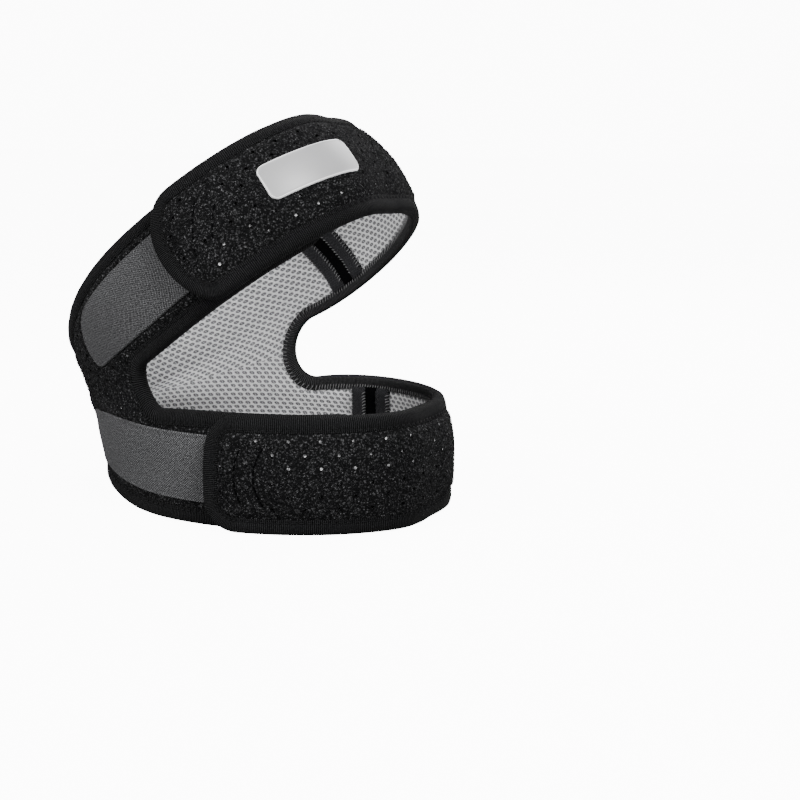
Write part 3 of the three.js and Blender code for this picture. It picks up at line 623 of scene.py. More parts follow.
class Graph:
    """Lays nodes in a node tree and links them."""

    def __init__(self, tree: bpy.types.NodeTree) -> None:
        """Starts on a tree."""
        self.tree = tree

    def node(self, kind: str, inputs: dict | None = None, **settings: object) -> bpy.types.Node:
        """A new node.

        Args:
            kind: its type, without the ShaderNode prefix.
            inputs: its sockets' values, or the sockets that feed them.
            **settings: its own settings.

        Returns:
            The node.
        """
        node = self.tree.nodes.new(kind if kind.startswith("Node") else f"ShaderNode{kind}")
        for name, value in settings.items():
            setattr(node, name, value)
        for name, value in (inputs or {}).items():
            self.feed(node.inputs[name], value)
        return node

    def feed(self, socket: bpy.types.NodeSocket, value: object) -> None:
        """Links a socket, or sets its value."""
        if isinstance(value, bpy.types.NodeSocket):
            self.tree.links.new(value, socket)
        else:
            socket.default_value = value

    def math(self, operation: str, *values: object, clamp: bool = False) -> bpy.types.NodeSocket:
        """One sum on numbers or sockets."""
        node = self.node("Math", operation=operation, use_clamp=clamp)
        for socket, value in zip(node.inputs, values):
            self.feed(socket, value)
        return node.outputs[0]

    def vector(self, operation: str, inputs: dict) -> bpy.types.NodeSocket:
        """One sum on vectors."""
        return self.node("VectorMath", inputs, operation=operation).outputs[0]

    def ramp(
        self, value: object, low: float, high: float, start: float = 0.0, end: float = 1.0
    ) -> bpy.types.NodeSocket:
        """A soft step of a value from low to high, as start to end."""
        inputs = {"Value": value, "From Min": low, "From Max": high, "To Min": start, "To Max": end}
        return self.node("MapRange", inputs, interpolation_type="SMOOTHSTEP").outputs[0]

    def blend(self, share: object, dark: object, light: object) -> bpy.types.NodeSocket:
        """A colour between two."""
        node = self.node("Mix", data_type="RGBA")
        for socket, value in zip((node.inputs[0], node.inputs[6], node.inputs[7]), (share, dark, light)):
            self.feed(socket, value)
        return node.outputs[2]

    def noise(
        self, vector: object, scale: object, detail: float = 2.0, roughness: float = 0.5
    ) -> bpy.types.NodeSocket:
        """Cloudy noise from 0 to 1."""
        inputs = {"Vector": vector, "Scale": scale, "Detail": detail, "Roughness": roughness}
        return self.node("TexNoise", inputs).outputs["Fac"]


class PatternGroup:
    """A shader node group that puts out a mask and a height."""

    def __init__(self, name: str, numbers: dict[str, float]) -> None:
        """Makes the group's sockets: a vector, the named numbers, and the two results."""
        self.tree = bpy.data.node_groups.new(name, "ShaderNodeTree")
        self.tree.interface.new_socket(name="Vector", in_out="INPUT", socket_type="NodeSocketVector")
        for label, value in numbers.items():
            socket = self.tree.interface.new_socket(name=label, in_out="INPUT", socket_type="NodeSocketFloat")
            socket.default_value = value
        for label in ("Mask", "Height"):
            self.tree.interface.new_socket(name=label, in_out="OUTPUT", socket_type="NodeSocketFloat")
        self.graph = Graph(self.tree)
        self.inputs = self.graph.node("NodeGroupInput").outputs
        self.result = self.graph.node("NodeGroupOutput")

    def finish(self, mask: object, height: object) -> bpy.types.NodeTree:
        """Links the results and gives the group."""
        self.graph.feed(self.result.inputs["Mask"], mask)
        self.graph.feed(self.result.inputs["Height"], height)
        return self.tree


class Patterns:
    """The node groups that the finishes share, each built once."""

    def __init__(self) -> None:
        """Builds the five groups."""
        self.pile = self._pile()
        self.rib = self._rib()
        self.knit = self._knit()
        self.twill = self._twill()
        self.uneven = self._uneven()

    @staticmethod
    def _pile() -> bpy.types.NodeTree:
        """Brushed loops: bent cells of thread. The mask paints each cell's middle light, partly as the
        fibres' random tone and partly as painted glints on the loop tops, each as bright as its own chance.
        Grain is loops per metre.
        """
        group = PatternGroup("brushed_loops_and_glints", {"Grain": 1180.0})
        graph, inputs = group.graph, group.inputs
        grains = graph.vector("SCALE", {0: inputs["Vector"], "Scale": inputs["Grain"]})
        cloud = graph.node("TexNoise", {"Vector": grains, "Scale": 0.8, "Detail": 2.0}).outputs["Color"]
        bent = graph.vector("MULTIPLY_ADD", {0: cloud, 1: (1.9, 1.9, 1.9), 2: grains})
        cells = graph.node("TexVoronoi", {"Vector": bent, "Scale": 1.0, "Randomness": 1.0})
        nub = graph.ramp(cells.outputs["Distance"], 0.62, 0.1)
        chance = graph.node("SeparateXYZ", {"Vector": cells.outputs["Color"]}).outputs[0]
        fine = graph.noise(grains, 2.4, 2.0, 0.7)
        tufts = graph.noise(grains, 0.2, 2.0, 0.6)
        bright = graph.math("MULTIPLY_ADD", graph.math("POWER", chance, 2.2), 0.8, 0.2)
        # The light cell middles are partly random tone and partly painted glints on the loop tops.
        lit = graph.math("MULTIPLY", nub, graph.ramp(fine, 0.32, 0.66, 0.25, 1.0))
        height = graph.math("MULTIPLY_ADD", nub, 0.8, graph.math("MULTIPLY_ADD", fine, 0.5, tufts))
        return group.finish(graph.math("MULTIPLY", lit, bright), height)

    @staticmethod
    def _rib() -> bpy.types.NodeTree:
        """Ribs across a tape: a rounded wave of the first texture coordinate, one rib to a unit. The mask
        paints the rib crests light as painted highlights.
        """
        group = PatternGroup("tape_ribs_and_highlights", {"Irregular": 0.25})
        graph, inputs = group.graph, group.inputs
        across = graph.node("SeparateXYZ", {"Vector": inputs["Vector"]}).outputs[0]
        drift = graph.math("MULTIPLY", graph.noise(inputs["Vector"], 0.35), inputs["Irregular"])
        wave = graph.math("SINE", graph.math("MULTIPLY", graph.math("ADD", across, drift), 2.0 * math.pi))
        rib = graph.math("MULTIPLY_ADD", wave, 0.5, 0.5)
        fuzz = graph.noise(inputs["Vector"], 3.1, 2.0, 0.7)
        # The mask is the rib crests, painted light as highlights.
        return group.finish(graph.math("MULTIPLY", rib, graph.ramp(fuzz, 0.25, 0.7)), rib)

    @staticmethod
    def _knit() -> bpy.types.NodeTree:
        """Air mesh: rows of slanted eyes, every other row shifted half an eye, each split by one light yarn.

        The vector is millimetres along and across. An eye is an ellipse about its cell's centre, leaning with
        the way across, and the mask is 1 inside it: the eyes are painted dark as the shade in the knit's
        holes.
        """
        group = PatternGroup("air_mesh_knit_and_eye_shade", {"Pitch": 3.45, "Row": 1.85, "Lean": 0.45})
        graph, inputs = group.graph, group.inputs
        wobble = graph.math("MULTIPLY_ADD", graph.noise(inputs["Vector"], 0.6), 0.5, -0.25)
        split = graph.node("SeparateXYZ", {"Vector": inputs["Vector"]})
        along = graph.math("ADD", split.outputs[0], wobble)
        row = graph.math("DIVIDE", split.outputs[1], inputs["Row"])
        number = graph.math("FLOOR", row)
        shift = graph.math("MULTIPLY", graph.math("FLOORED_MODULO", number, 2.0), 0.5)
        column = graph.math("ADD", graph.math("DIVIDE", along, inputs["Pitch"]), shift)
        v = graph.math("MULTIPLY", graph.math("SUBTRACT", graph.math("FRACT", row), 0.5), inputs["Row"])
        u = graph.math("MULTIPLY", graph.math("SUBTRACT", graph.math("FRACT", column), 0.5), inputs["Pitch"])
        leaning = graph.math("MULTIPLY_ADD", v, inputs["Lean"], u)
        wide = graph.math("POWER", graph.math("DIVIDE", leaning, 1.3), 2.0)
        tall = graph.math("POWER", graph.math("DIVIDE", v, 0.8), 2.0)
        eye = graph.ramp(graph.math("ADD", wide, tall), 1.2, 0.55)
        yarn = graph.ramp(graph.math("ABSOLUTE", leaning), 0.06, 0.24, 0.62, 1.0)
        strand = graph.noise(inputs["Vector"], 2.2, 3.0, 0.65)
        mottled = graph.math("MULTIPLY", yarn, graph.ramp(strand, 0.25, 0.6, 0.6, 1.0))
        # The eyes are painted dark: painted shade in the knit's holes.
        hole = graph.math("MULTIPLY", eye, mottled)
        mask = graph.math("MAXIMUM", hole, graph.ramp(strand, 0.42, 0.7, 0.0, 0.3))
        height = graph.math("MULTIPLY_ADD", eye, -0.9, graph.math("MULTIPLY", strand, 0.5))
        return group.finish(mask, height)

    @staticmethod
    def _twill() -> bpy.types.NodeTree:
        """Short loop pile on a twill ground: dots in slanting lines, each as bright as the noise makes it."""
        group = PatternGroup("twill_pile", {"Pitch": 0.92})
        graph, inputs = group.graph, group.inputs
        split = graph.node("SeparateXYZ", {"Vector": inputs["Vector"]})
        waves = []
        for operation in ("ADD", "SUBTRACT"):
            crossed = graph.math(operation, split.outputs[0], split.outputs[1])
            slant = graph.math("DIVIDE", crossed, inputs["Pitch"])
            waves.append(graph.math("SINE", graph.math("MULTIPLY", slant, 2.0 * math.pi)))
        crossed = graph.math("ADD", waves[0], graph.math("MULTIPLY", waves[1], 0.6))
        dots = graph.math("MULTIPLY_ADD", crossed, 0.31, 0.5)
        grain = graph.noise(inputs["Vector"], 1.7, 2.0, 0.6)
        mask = graph.math("MULTIPLY", dots, graph.ramp(grain, 0.3, 0.68, 0.25, 1.2), clamp=True)
        return group.finish(mask, graph.math("MULTIPLY_ADD", dots, 0.8, graph.math("MULTIPLY", grain, 0.5)))

    @staticmethod
    def _uneven() -> bpy.types.NodeTree:
        """Slow patches of wear and lint over a whole piece. Spread is patches per metre."""
        group = PatternGroup("uneven_wear", {"Spread": 30.0})
        graph, inputs = group.graph, group.inputs
        patch = graph.noise(inputs["Vector"], inputs["Spread"], 3.0, 0.6)
        lint = graph.noise(inputs["Vector"], graph.math("MULTIPLY", inputs["Spread"], 25.0), 2.0, 0.5)
        return group.finish(graph.ramp(patch, 0.3, 0.7), graph.ramp(lint, 0.66, 0.74))


LINT_COLOR = (0.35, 0.35, 0.36)
# How much less rough a pattern's light threads are than its ground.
SMOOTHER_THREADS = 0.12


@dataclass(frozen=True)
class Finish:
    """One finish: a pattern group over dark and light colours, with bump, on a Principled surface.

    Colours are linear. `scale` turns metres of Object coordinates, or texture units, into the pattern's own.
    """

    name: str
    pattern: str
    dark: Color
    light: Color
    roughness: float = 0.9
    bump: float = 0.6
    depth: float = 0.0004
    on_cloth: bool = False
    patchy: float = 0.25
    lint: float = 0.0
    specular: float = 0.5
    values: tuple[tuple[str, float], ...] = ()

    def build(self, patterns: Patterns) -> bpy.types.Material:
        """The material, reading the piece's own texture places or Object coordinates."""
        material = bpy.data.materials.new(self.name)
        material.use_nodes = True
        material.diffuse_color = (*self.light, 1.0)
        graph = Graph(material.node_tree)
        shader = material.node_tree.nodes["Principled BSDF"]
        object_place = graph.node("TexCoord").outputs["Object"]
        place = graph.node("UVMap", uv_map=TEXTURE_LAYER).outputs[0] if self.on_cloth else object_place
        group = graph.node("Group", node_tree=getattr(patterns, self.pattern))
        graph.feed(group.inputs["Vector"], place)
        for name, value in self.values:
            group.inputs[name].default_value = value
        wear = graph.node("Group", node_tree=patterns.uneven)
        graph.feed(wear.inputs["Vector"], object_place)
        weave = graph.blend(group.outputs["Mask"], (*self.dark, 1.0), (*self.light, 1.0))
        shade = graph.math("MULTIPLY_ADD", wear.outputs["Mask"], self.patchy, 1.0 - self.patchy / 2.0)
        shaded = graph.vector("MULTIPLY", {0: weave, 1: shade})
        specks = graph.math("MULTIPLY", wear.outputs["Height"], self.lint)
        graph.feed(shader.inputs["Base Color"], graph.blend(specks, shaded, (*LINT_COLOR, 1.0)))
        rough = graph.math("MULTIPLY_ADD", group.outputs["Mask"], -SMOOTHER_THREADS, self.roughness)
        graph.feed(shader.inputs["Roughness"], rough)
        relief = {"Height": group.outputs["Height"], "Strength": self.bump, "Distance": self.depth}
        graph.feed(shader.inputs["Normal"], graph.node("Bump", relief).outputs[0])
        shader.inputs["Specular IOR Level"].default_value = self.specular
        return material


# On the pile pattern each finish's light colour is partly the fibres' random tone and partly painted glints
# on the loop tops.
BRUSHED = Finish(
    "brushed_loop_fabric", "pile", dark=(0.0025, 0.0025, 0.0027), light=(0.11, 0.11, 0.114),
    roughness=0.95, bump=1.0, depth=0.0009, lint=0.1, specular=0.04,
)
CURL = Finish(
    "loop_curls", "pile", dark=(0.002, 0.002, 0.0025), light=(0.06, 0.06, 0.063),
    roughness=0.85, bump=0.4, specular=0.08,
)
# The light colour shows on the rib crests as painted highlights.
RIBBED = Finish(
    "ribbed_binding_tape", "rib", dark=(0.0002, 0.0002, 0.0003), light=(0.021, 0.021, 0.022),
    roughness=0.85, bump=1.0, depth=0.0007, on_cloth=True, specular=0.05,
)
# A lighter copy of the binding tape's finish for the faces inside the fold: painted light where the tape's
# inside lies in shade. Its light colour also shows the rib crests as painted highlights.
RIBBED_INSIDE_PAINTED_LIGHT = Finish(
    "inner_binding_tape_painted_light", "rib", dark=(0.001, 0.001, 0.0012), light=(0.055, 0.055, 0.057),
    roughness=0.85, bump=1.0, depth=0.0006, on_cloth=True, specular=0.08,
)
# Here dark holds the mesh's own grey and light holds a near black, which paints the knit's eyes as painted
# shade and darkens the yarn's random mottle.
AIR_MESH = Finish(
    "grey_air_mesh", "knit", dark=(0.46, 0.46, 0.465), light=(0.04, 0.04, 0.044),
    roughness=0.85, bump=0.9, depth=0.0006, on_cloth=True, patchy=0.06,
)
LOOP_PAD = Finish(
    "grey_loop_pad", "twill", dark=(0.002, 0.002, 0.0024), light=(0.12, 0.12, 0.124),
    bump=1.0, depth=0.0006, on_cloth=True, patchy=0.12, specular=0.08,
)
HOOK_PAD = Finish(
    "black_hook_pad", "pile", dark=(0.002, 0.002, 0.0025), light=(0.035, 0.035, 0.037),
    roughness=0.7, bump=0.8, specular=0.15, values=(("Grain", 1300.0),),
)
FLAP = Finish(
    "woven_strip_flap", "twill", dark=(0.0025, 0.0025, 0.003), light=(0.028, 0.028, 0.03),
    bump=0.8, depth=0.0003, on_cloth=True, patchy=0.1, specular=0.06,
)
OVERCAST = Finish(
    "grey_overcast_thread", "pile", dark=(0.09, 0.09, 0.092), light=(0.34, 0.34, 0.345),
    roughness=0.8, bump=0.3, specular=0.1, values=(("Grain", 2600.0),),
)
# Also the tab stitches' finish, darker than the black thread: painted shade along the sunk seam lines.
VELVET_AND_SEAM_SHADE = Finish(
    "black_velvet_and_seam_shade", "pile", dark=(0.0008, 0.0008, 0.001), light=(0.004, 0.004, 0.0045),
    roughness=1.0, bump=0.4, specular=0.02, values=(("Grain", 3200.0),),
)
THREAD = Finish(
    "black_thread", "pile", dark=(0.003, 0.003, 0.0035), light=(0.02, 0.02, 0.021),
    roughness=0.75, bump=0.3, specular=0.1, values=(("Grain", 4000.0),),
)
LABEL_FACE = Finish(
    "satin_label", "uneven", dark=(0.2, 0.2, 0.203), light=(0.22, 0.22, 0.223),
    roughness=0.5, bump=0.05, patchy=0.04,
)
LABEL_RIM = Finish(
    "label_rim", "uneven", dark=(0.56, 0.56, 0.565), light=(0.6, 0.6, 0.605),
    roughness=0.35, bump=0.05, patchy=0.03,
)


@dataclass(frozen=True)
class Look:
    """A finish, with the name of a record's material slot beside it; only the finish is read."""

    material: bpy.types.Material
    slot: str


@dataclass(frozen=True)
class RoundedPatch:
    """A patch sewn to the cloth, with x along it and y across it, in millimetres.

    Its two long borders may draw in towards its start, by a taper that fades as a square, and its corners are
    round.
    """

    length: float
    width: float
    low_radius: float
    high_radius: float
    low_taper: float = 0.0
    high_taper: float = 0.0
    taper_length: float = 45.0
    square_end: bool = False

    def borders(self, x: Array) -> tuple[Array, Array]:
        """The two long borders at x, before the corners are rounded."""
        fade = np.clip(1.0 - x / self.taper_length, 0.0, 1.0) ** 2
        return self.low_taper * fade, self.width - self.high_taper * fade

    def inside(self, x: Array, y: Array) -> Array:
        """How far points are in from the border, negative outside: the distance in a rounded rectangle."""
        low, high = self.borders(x)
        end = x if self.square_end else np.minimum(x, self.length - x)
        distance = np.full(np.broadcast(x, y).shape, np.inf)
        for across, radius in ((y - low, self.low_radius), (high - y, self.high_radius)):
            rounded = radius - np.hypot(radius - end, radius - across)
            corner = (end < radius) & (across < radius)
            distance = np.minimum(distance, np.where(corner, rounded, np.minimum(end, across)))
        return np.minimum(distance, self.length - x)

    def grid(self, pitch: float, round_steps: int = 9, least_step: float = 0.015) -> tuple[Array, Array]:
        """A grid that fills the patch: close rows at its border, columns that follow its round corners."""
        steps = rounding(round_steps)
        start = np.sort(np.concatenate([SKIRT, self.low_radius * steps, self.high_radius * steps]))
        start = start[np.append(True, np.diff(start) > least_step)]
        stop = self.length if self.square_end else self.length - start[-1]
        between = np.linspace(start[-1], stop, max(int((stop - start[-1]) / pitch), 2))[1:]
        x = np.concatenate([start, between] + ([] if self.square_end else [self.length - start[::-1][1:]]))
        end = x if self.square_end else np.minimum(x, self.length - x)
        low, high = self.borders(x)
        low = low + self._lost(end, self.low_radius)
        high = high - self._lost(end, self.high_radius)
        half = self.width / 2.0
        share = np.unique(np.concatenate([SKIRT, np.linspace(SKIRT[-1], half, int(half / pitch))]))
        share = np.concatenate([share, self.width - share[::-1][1:]]) / self.width
        y = low[:, None] + (high - low)[:, None] * share[None, :]
        return np.repeat(x[:, None], len(share), axis=1), y

    @staticmethod
    def _lost(end: Array, radius: float) -> Array:
        """How much a round corner takes off a border."""
        short = np.clip(radius - end, 0.0, radius)
        return radius - np.sqrt(radius**2 - short**2)


@dataclass(frozen=True)
class LoopPad:
    """One loop pad: where it starts on its short arm, and how it lies in the band."""

    name: str
    arm: Arm
    start_turn: float
    width: float
    outer_corner: float
    inner_corner: float
    inner_taper: float
    outer_flare: float = 1.2
    margin: float = 8.8
    end_margin: float = 11.0

    def origin(self, pattern: StrapPattern) -> tuple[float, float, float]:
        """The pad's start turn, its end turn and millimetres per degree along its outer border."""
        start = -self.start_turn
        bottom, _, _, top = pattern.edges(start)
        up = bottom + self.margin if self.arm.lower else top - self.margin
        return start, pattern.arm_end(self.arm, self.end_margin)[0], float(pattern.wall.measure(start, up)[0])

    def patch(self, pattern: StrapPattern) -> RoundedPatch:
        """The pad's outline."""
        start, end, scale = self.origin(pattern)
        corners = self.outer_corner, self.inner_corner
        tapers = -self.outer_flare, self.inner_taper
        return RoundedPatch(abs(end - start) * scale, self.width, *corners, *tapers, square_end=True)

    def to_place(self, pattern: StrapPattern, x: Array, y: Array) -> tuple[Array, Array]:
        """Pad coordinates as places: x towards the arm's end, y in from the band's outer edge."""
        start, _, scale = self.origin(pattern)
        turn = start - x / scale
        bottom, _, _, top = pattern.edges(turn)
        return turn, bottom + self.margin + y if self.arm.lower else top - self.margin - y

    def inside(self, pattern: StrapPattern, turn: Array, up: Array) -> Array:
        """How far places are inside the pad, in millimetres."""
        start, _, scale = self.origin(pattern)
        bottom, _, _, top = pattern.edges(turn)
        y = up - bottom - self.margin if self.arm.lower else top - self.margin - up
        return self.patch(pattern).inside((start - turn) * scale, y)


@dataclass(frozen=True)
class StrapLabel:
    """The bare label: a rounded rectangle tilted a little to the upper strap's top edge."""

    turn: float = 211.9
    drop: float = 23.4
    width: float = 39.5
    height: float = 14.8
    tilt: float = 3.0
    corner: float = 3.2
    seat: float = 2.3
    rise: float = 3.1
    edge_round: float = 0.3
    rim_width: float = 0.35
    rim_spread: float = 0.28
    rim_rise: float = 0.14
    face_inset: float = 0.2
    pitch: float = 0.9

    def outline(self) -> RoundedPatch:
        """The label's outline."""
        return RoundedPatch(self.width, self.height, self.corner, self.corner)

    def scale(self, pattern: StrapPattern) -> float:
        """Millimetres per degree at the label's middle."""
        return float(pattern.wall.measure(self.turn, pattern.wall.height(self.turn) - self.drop)[0])

    def to_place(self, pattern: StrapPattern, x: Array, y: Array) -> tuple[Array, Array]:
        """Label coordinates as places, turned by the tilt about the label's middle."""
        tilt = math.radians(self.tilt)
        x, y = x - self.width / 2.0, y - self.height / 2.0
        turn = self.turn + (x * math.cos(tilt) - y * math.sin(tilt)) / self.scale(pattern)
        drop = self.drop - x * math.sin(tilt) - y * math.cos(tilt)
        return turn, pattern.edges(turn)[3] - drop

    def inside(self, pattern: StrapPattern, turn: Array, up: Array) -> Array:
        """How far places are inside the label, in millimetres."""
        tilt = math.radians(self.tilt)
        right = (turn - self.turn) * self.scale(pattern)
        upward = self.drop - (pattern.edges(turn)[3] - up)
        x = right * math.cos(tilt) + upward * math.sin(tilt) + self.width / 2.0
        y = upward * math.cos(tilt) - right * math.sin(tilt) + self.height / 2.0
        return self.outline().inside(x, y)

    def build(self, pattern: StrapPattern, materials: list[bpy.types.Material]) -> bpy.types.Object:
        """The label's mesh: a flat face inside a raised rim, a bump of the distance from the border."""
        x, y = self.outline().grid(self.pitch)
        edge = self.outline().inside(x, y)
        rim = np.exp(-(((edge - self.rim_width) / self.rim_spread) ** 2))
        out = mix(self.seat, self.rise, smooth(edge / self.edge_round)) + self.rim_rise * rim
        turn, up = self.to_place(pattern, x, y)
        faces = grid_quads(np.arange(x.size).reshape(x.shape))
        face = edge.ravel()[faces].mean(axis=1) > self.rim_width + self.face_inset
        uv = np.stack([x.ravel(), y.ravel()], axis=-1)
        sets = [FaceSet(faces[face], uv, 0), FaceSet(faces[~face], uv, 1)]
        points = pattern.wall.point(turn, up, out).reshape(-1, 3)
        piece = make_object("blank_label", points, sets, materials)
        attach(piece, "root")
        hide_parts("label")
        return piece


@dataclass(frozen=True)
class HoleRows:
    """The perforations of a band: millimetres along the cloth and between rows, and where they begin."""

    pitch: float
    phase: float
    spacing: float
    first: float
    count: int = 13
    columns: range = range(-30, 60)


# The sewn arches on each long strap's end, True in the band below the kneecap. In millimetres: how far back
# from the end an arch lies, half its height, how far it bows back, and how far it slants.
TAB_LINES = {
    True: ((12.5, 10.0, 2.5, 0.0), (20.0, 11.0, 4.0, 0.0)),
    False: ((16.0, 11.0, 2.0, 6.0), (25.0, 5.5, 0.5, 4.0)),
}
LOWER_HOLES = HoleRows(pitch=13.0, phase=4.4, spacing=4.95, first=5.4)
UPPER_HOLES = HoleRows(pitch=9.8, phase=-0.9, spacing=4.75, first=3.75)


@dataclass
class PaddedCloth:
    """The perforated outer cloth with its foam, and the air mesh inside."""

    pattern: StrapPattern
    edge: EdgeLine
    pads: list[LoopPad]
    label: StrapLabel
    along: FlatLength
    pressed: float = 1.35
    full: float = 2.55
    pad_seat: float = 1.6
    inner_pressed: float = 1.3
    inner_full: float = 2.3
    inner_seat: float = 1.4
    puff_start: float = 4.8
    puff_end: float = 9.2
    outer_lump: float = 0.14
    inner_lump: float = 0.12
    seat_spread: float = 1.3
    seat_fade: float = 1.6
    hidden_fade: float = 8.0
    inset: float = 2.0
    outer_pitch: float = 1.02
    inner_pitch: float = 1.7
    grain: float = 0.06
    hole_radius: float = 0.62
    hole_dip: float = 0.18
    shallow_hole: float = 0.42
    deep_hole: float = 2.4
    lower_deep_rows: float = 15.0
    upper_deep_rows: float = 25.0
    deep_fade: float = 9.0
    least_share: float = 0.72
    hole_margin: float = 8.0
    hole_patch_margin: float = 1.6
    hole_seam_margin: float = 2.2
    hole_panel_margin: float = 2.0
    seam_depth: float = 1.15
    seam_width: float = 0.95
    stitch_pitch: float = 2.9
    stitch_cover: float = 0.47
    stitch_rise: float = 0.2
    stitch_sink: float = 0.08
    stitch_radius: float = 0.42
    curl_inset: float = 7.6
    curl_patch_margin: float = 0.2
    curl_seam_margin: float = 0.8
    curl_reach: float = 0.3
    curl_more_reach: float = 0.3
    curl_rise: float = 0.2
    curl_more_rise: float = 0.22
    curl_sink: float = 0.05
    curl_radius: float = 0.11

    def edge_line(self) -> tuple[Array, Array]:
        """The cut edge as turns and ups."""
        return self.edge.turn, self.edge.up

    def tab_lines(self) -> list[tuple[Array, Array]]:
        """The sewn lines that hold the hook patches, on the long straps' ends: two arches on each."""
        lines = []
        for arm in (Arm.LOWER_LONG, Arm.UPPER_LONG):
            end, scale = self.pattern.arm_end(arm)
            for back, half, bow, slant in TAB_LINES[arm.lower]:
                share = np.linspace(-1.0, 1.0, 61)
                turn = end - (back + bow * share * share + slant * share) / scale
                start, stop = self.pattern.arm_edges(arm, turn)
                lines.append((turn, (start + stop) / 2.0 + half * share))
        return lines

    def tab_seams(self) -> tuple[Array, Array]:
        """All the tab lines' places in one row."""
        turns, ups = zip(*self.tab_lines())
        return np.concatenate(turns), np.concatenate(ups)

    def build_tab_stitches(self, thread: bpy.types.Material) -> bpy.types.Object:
        """The tab seams' stitches: short threads that lie in the sunk lines and dip in at both ends."""
        wall = self.pattern.wall
        places = []
        step = np.linspace(-1.0, 1.0, 6)[None, :]
        for turn, up in self.tab_lines():
            lengths = np.linalg.norm(np.diff(wall.point(turn, up, self.full), axis=0), axis=-1)
            length = np.concatenate([[0.0], np.cumsum(lengths)])
            count = int(length[-1] / self.stitch_pitch)
            middle = (np.arange(count) + 0.5) * length[-1] / count
            at = middle[:, None] + self.stitch_cover * self.stitch_pitch * step
            places.append((np.interp(at, length, turn), np.interp(at, length, up)))
        turn, up = (np.concatenate(rows) for rows in zip(*places))
        level = self.outer(turn.ravel(), up.ravel()).reshape(turn.shape)
        out = level + self.stitch_rise * (1.0 - step**4) - self.stitch_sink
        normal = wall.outward(turn[:, 2], up[:, 2])
        paths = wall.point(turn, up, out)
        piece = thread_object("tab_stitches", paths, normal, self.stitch_radius, 6, thread)
        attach(piece, "root")
        return piece

    def hole_depths(self, turn: Array, up: Array) -> Array:
        """How deep the light mesh shows in each hole: shallow in the rows away from a band's outer edge."""
        wall = self.pattern.wall
        drop = wall.height(turn) - up
        below = smooth((up - self.lower_deep_rows) / self.deep_fade)
        above = smooth((drop - self.upper_deep_rows) / self.deep_fade)
        share = np.where(up < wall.middle(turn), below, above)
        uneven = 0.5 + 0.5 * np.sin(12.99 * turn + 7.23 * up)
        return mix(self.deep_hole, self.shallow_hole, share * mix(self.least_share, 1.0, uneven))

    def puff(self, turn: Array, up: Array) -> Array:
        """How puffed the padding is: a soft step of the way in from the cut edge."""
        near_edge = self.pattern.nearest(turn, up, self.edge_line())
        return smooth((near_edge - self.puff_start) / (self.puff_end - self.puff_start))

    def outer(self, turn: Array, up: Array) -> Array:
        """The outer face's way out: pressed at the tape, puffed, seated under pads, sunk along seams."""
        out = mix(self.pressed, self.full + self.outer_lump * lumps(turn, up), self.puff(turn, up))
        for pad in self.pads:
            seat = smooth((pad.inside(self.pattern, turn, up) + self.seat_spread) / self.seat_fade)
            out = mix(out, np.minimum(out, self.pad_seat), seat)
        seam = self.pattern.nearest(turn, up, self.tab_seams())
        return out - self.seam_depth * np.exp(-((seam / self.seam_width) ** 2))

    def inner(self, turn: Array, up: Array) -> Array:
        """The inner face's way in, as a negative way out."""
        hidden = smooth((turn - self.pattern.wall.lap_full_turn) / self.hidden_fade)
        full = mix(self.inner_full + self.inner_lump * lumps(up, turn), self.inner_seat, hidden)
        return -mix(self.inner_pressed, full, self.puff(turn, up))

    def clear_of(self, turn: Array, up: Array, patch_margin: float, seam_margin: float) -> Array:
        """Whether places are clear of the pads, the label and the tab seams by margins in millimetres."""
        clear = self.pattern.nearest(turn, up, self.tab_seams()) > seam_margin
        for shape in (*self.pads, self.label):
            clear &= shape.inside(self.pattern, turn, up) < -patch_margin
        return clear

    def hole_places(self, lower: bool) -> tuple[Array, Array]:
        """The perforations of one band: rows along it, every other row shifted half a pitch."""
        wall = self.pattern.wall
        rows = LOWER_HOLES if lower else UPPER_HOLES
        number, row = np.meshgrid(rows.columns, np.arange(rows.count), indexing="ij")
        length = (number + 0.5 * (row % 2)) * rows.pitch + rows.phase
        turn = self.along.turn(length).ravel()
        across = (row * rows.spacing + rows.first).ravel()
        up = across if lower else wall.height(turn) - across
        inside = np.abs(length.ravel() - self.along.length(turn)) < 1.0
        clear = self.pattern.nearest(turn, up, self.edge_line()) > self.hole_margin
        clear &= self.clear_of(turn, up, self.hole_patch_margin, self.hole_seam_margin)
        past_middle = wall.middle(turn) - up if lower else up - wall.middle(turn)
        keep = inside & clear & (past_middle > self.hole_panel_margin)
        return turn[keep], up[keep]

    def pierced(self, grid: ClothGrid) -> tuple[Array, Array, Array, Array]:
        """Rounds a ring of eight vertices about each perforation.

        The vertex nearest to a hole becomes its centre, and its eight neighbours move to a circle about it,
        each along its own direction.

        Args:
            grid: the cloth's grid, whose places are moved.

        Returns:
            The holes' centre vertices, their rings (holes, 8), and masks of the faces that stay in each band.
        """
        wall = self.pattern.wall
        centres, rings = [], []
        steps = np.array([(-1, -1), (0, -1), (1, -1), (1, 0), (1, 1), (0, 1), (-1, 1), (-1, 0)])
        for lower, index in ((True, grid.lower), (False, grid.upper)):
            turn, up = self.hole_places(lower)
            column = np.abs(grid.turn[index[:, 0]][None, :] - turn[:, None]).argmin(axis=1)
            row = np.abs(grid.up[index[column]] - up[:, None]).argmin(axis=1)
            fits = (column > 1) & (column < index.shape[0] - 2) & (row > 1) & (row < index.shape[1] - 2)
            column, row = column[fits], row[fits]
            centre = index[column, row]
            ring = index[column[:, None] + steps[:, 0], row[:, None] + steps[:, 1]]
            turn, up = grid.turn[centre][:, None], grid.up[centre][:, None]
            right, upward = wall.span(turn, up, grid.turn[ring] - turn, grid.up[ring] - up)
            size = self.hole_radius / np.hypot(right, upward)
            grid.turn[ring], grid.up[ring] = wall.moved(turn, up, right * size, upward * size)
            centres.append(centre)
            rings.append(ring)
        centre = np.concatenate(centres)
        below, above = (~np.isin(grid_quads(index), centre).any(axis=1) for index in (grid.lower, grid.upper))
        return centre, np.concatenate(rings), below, above

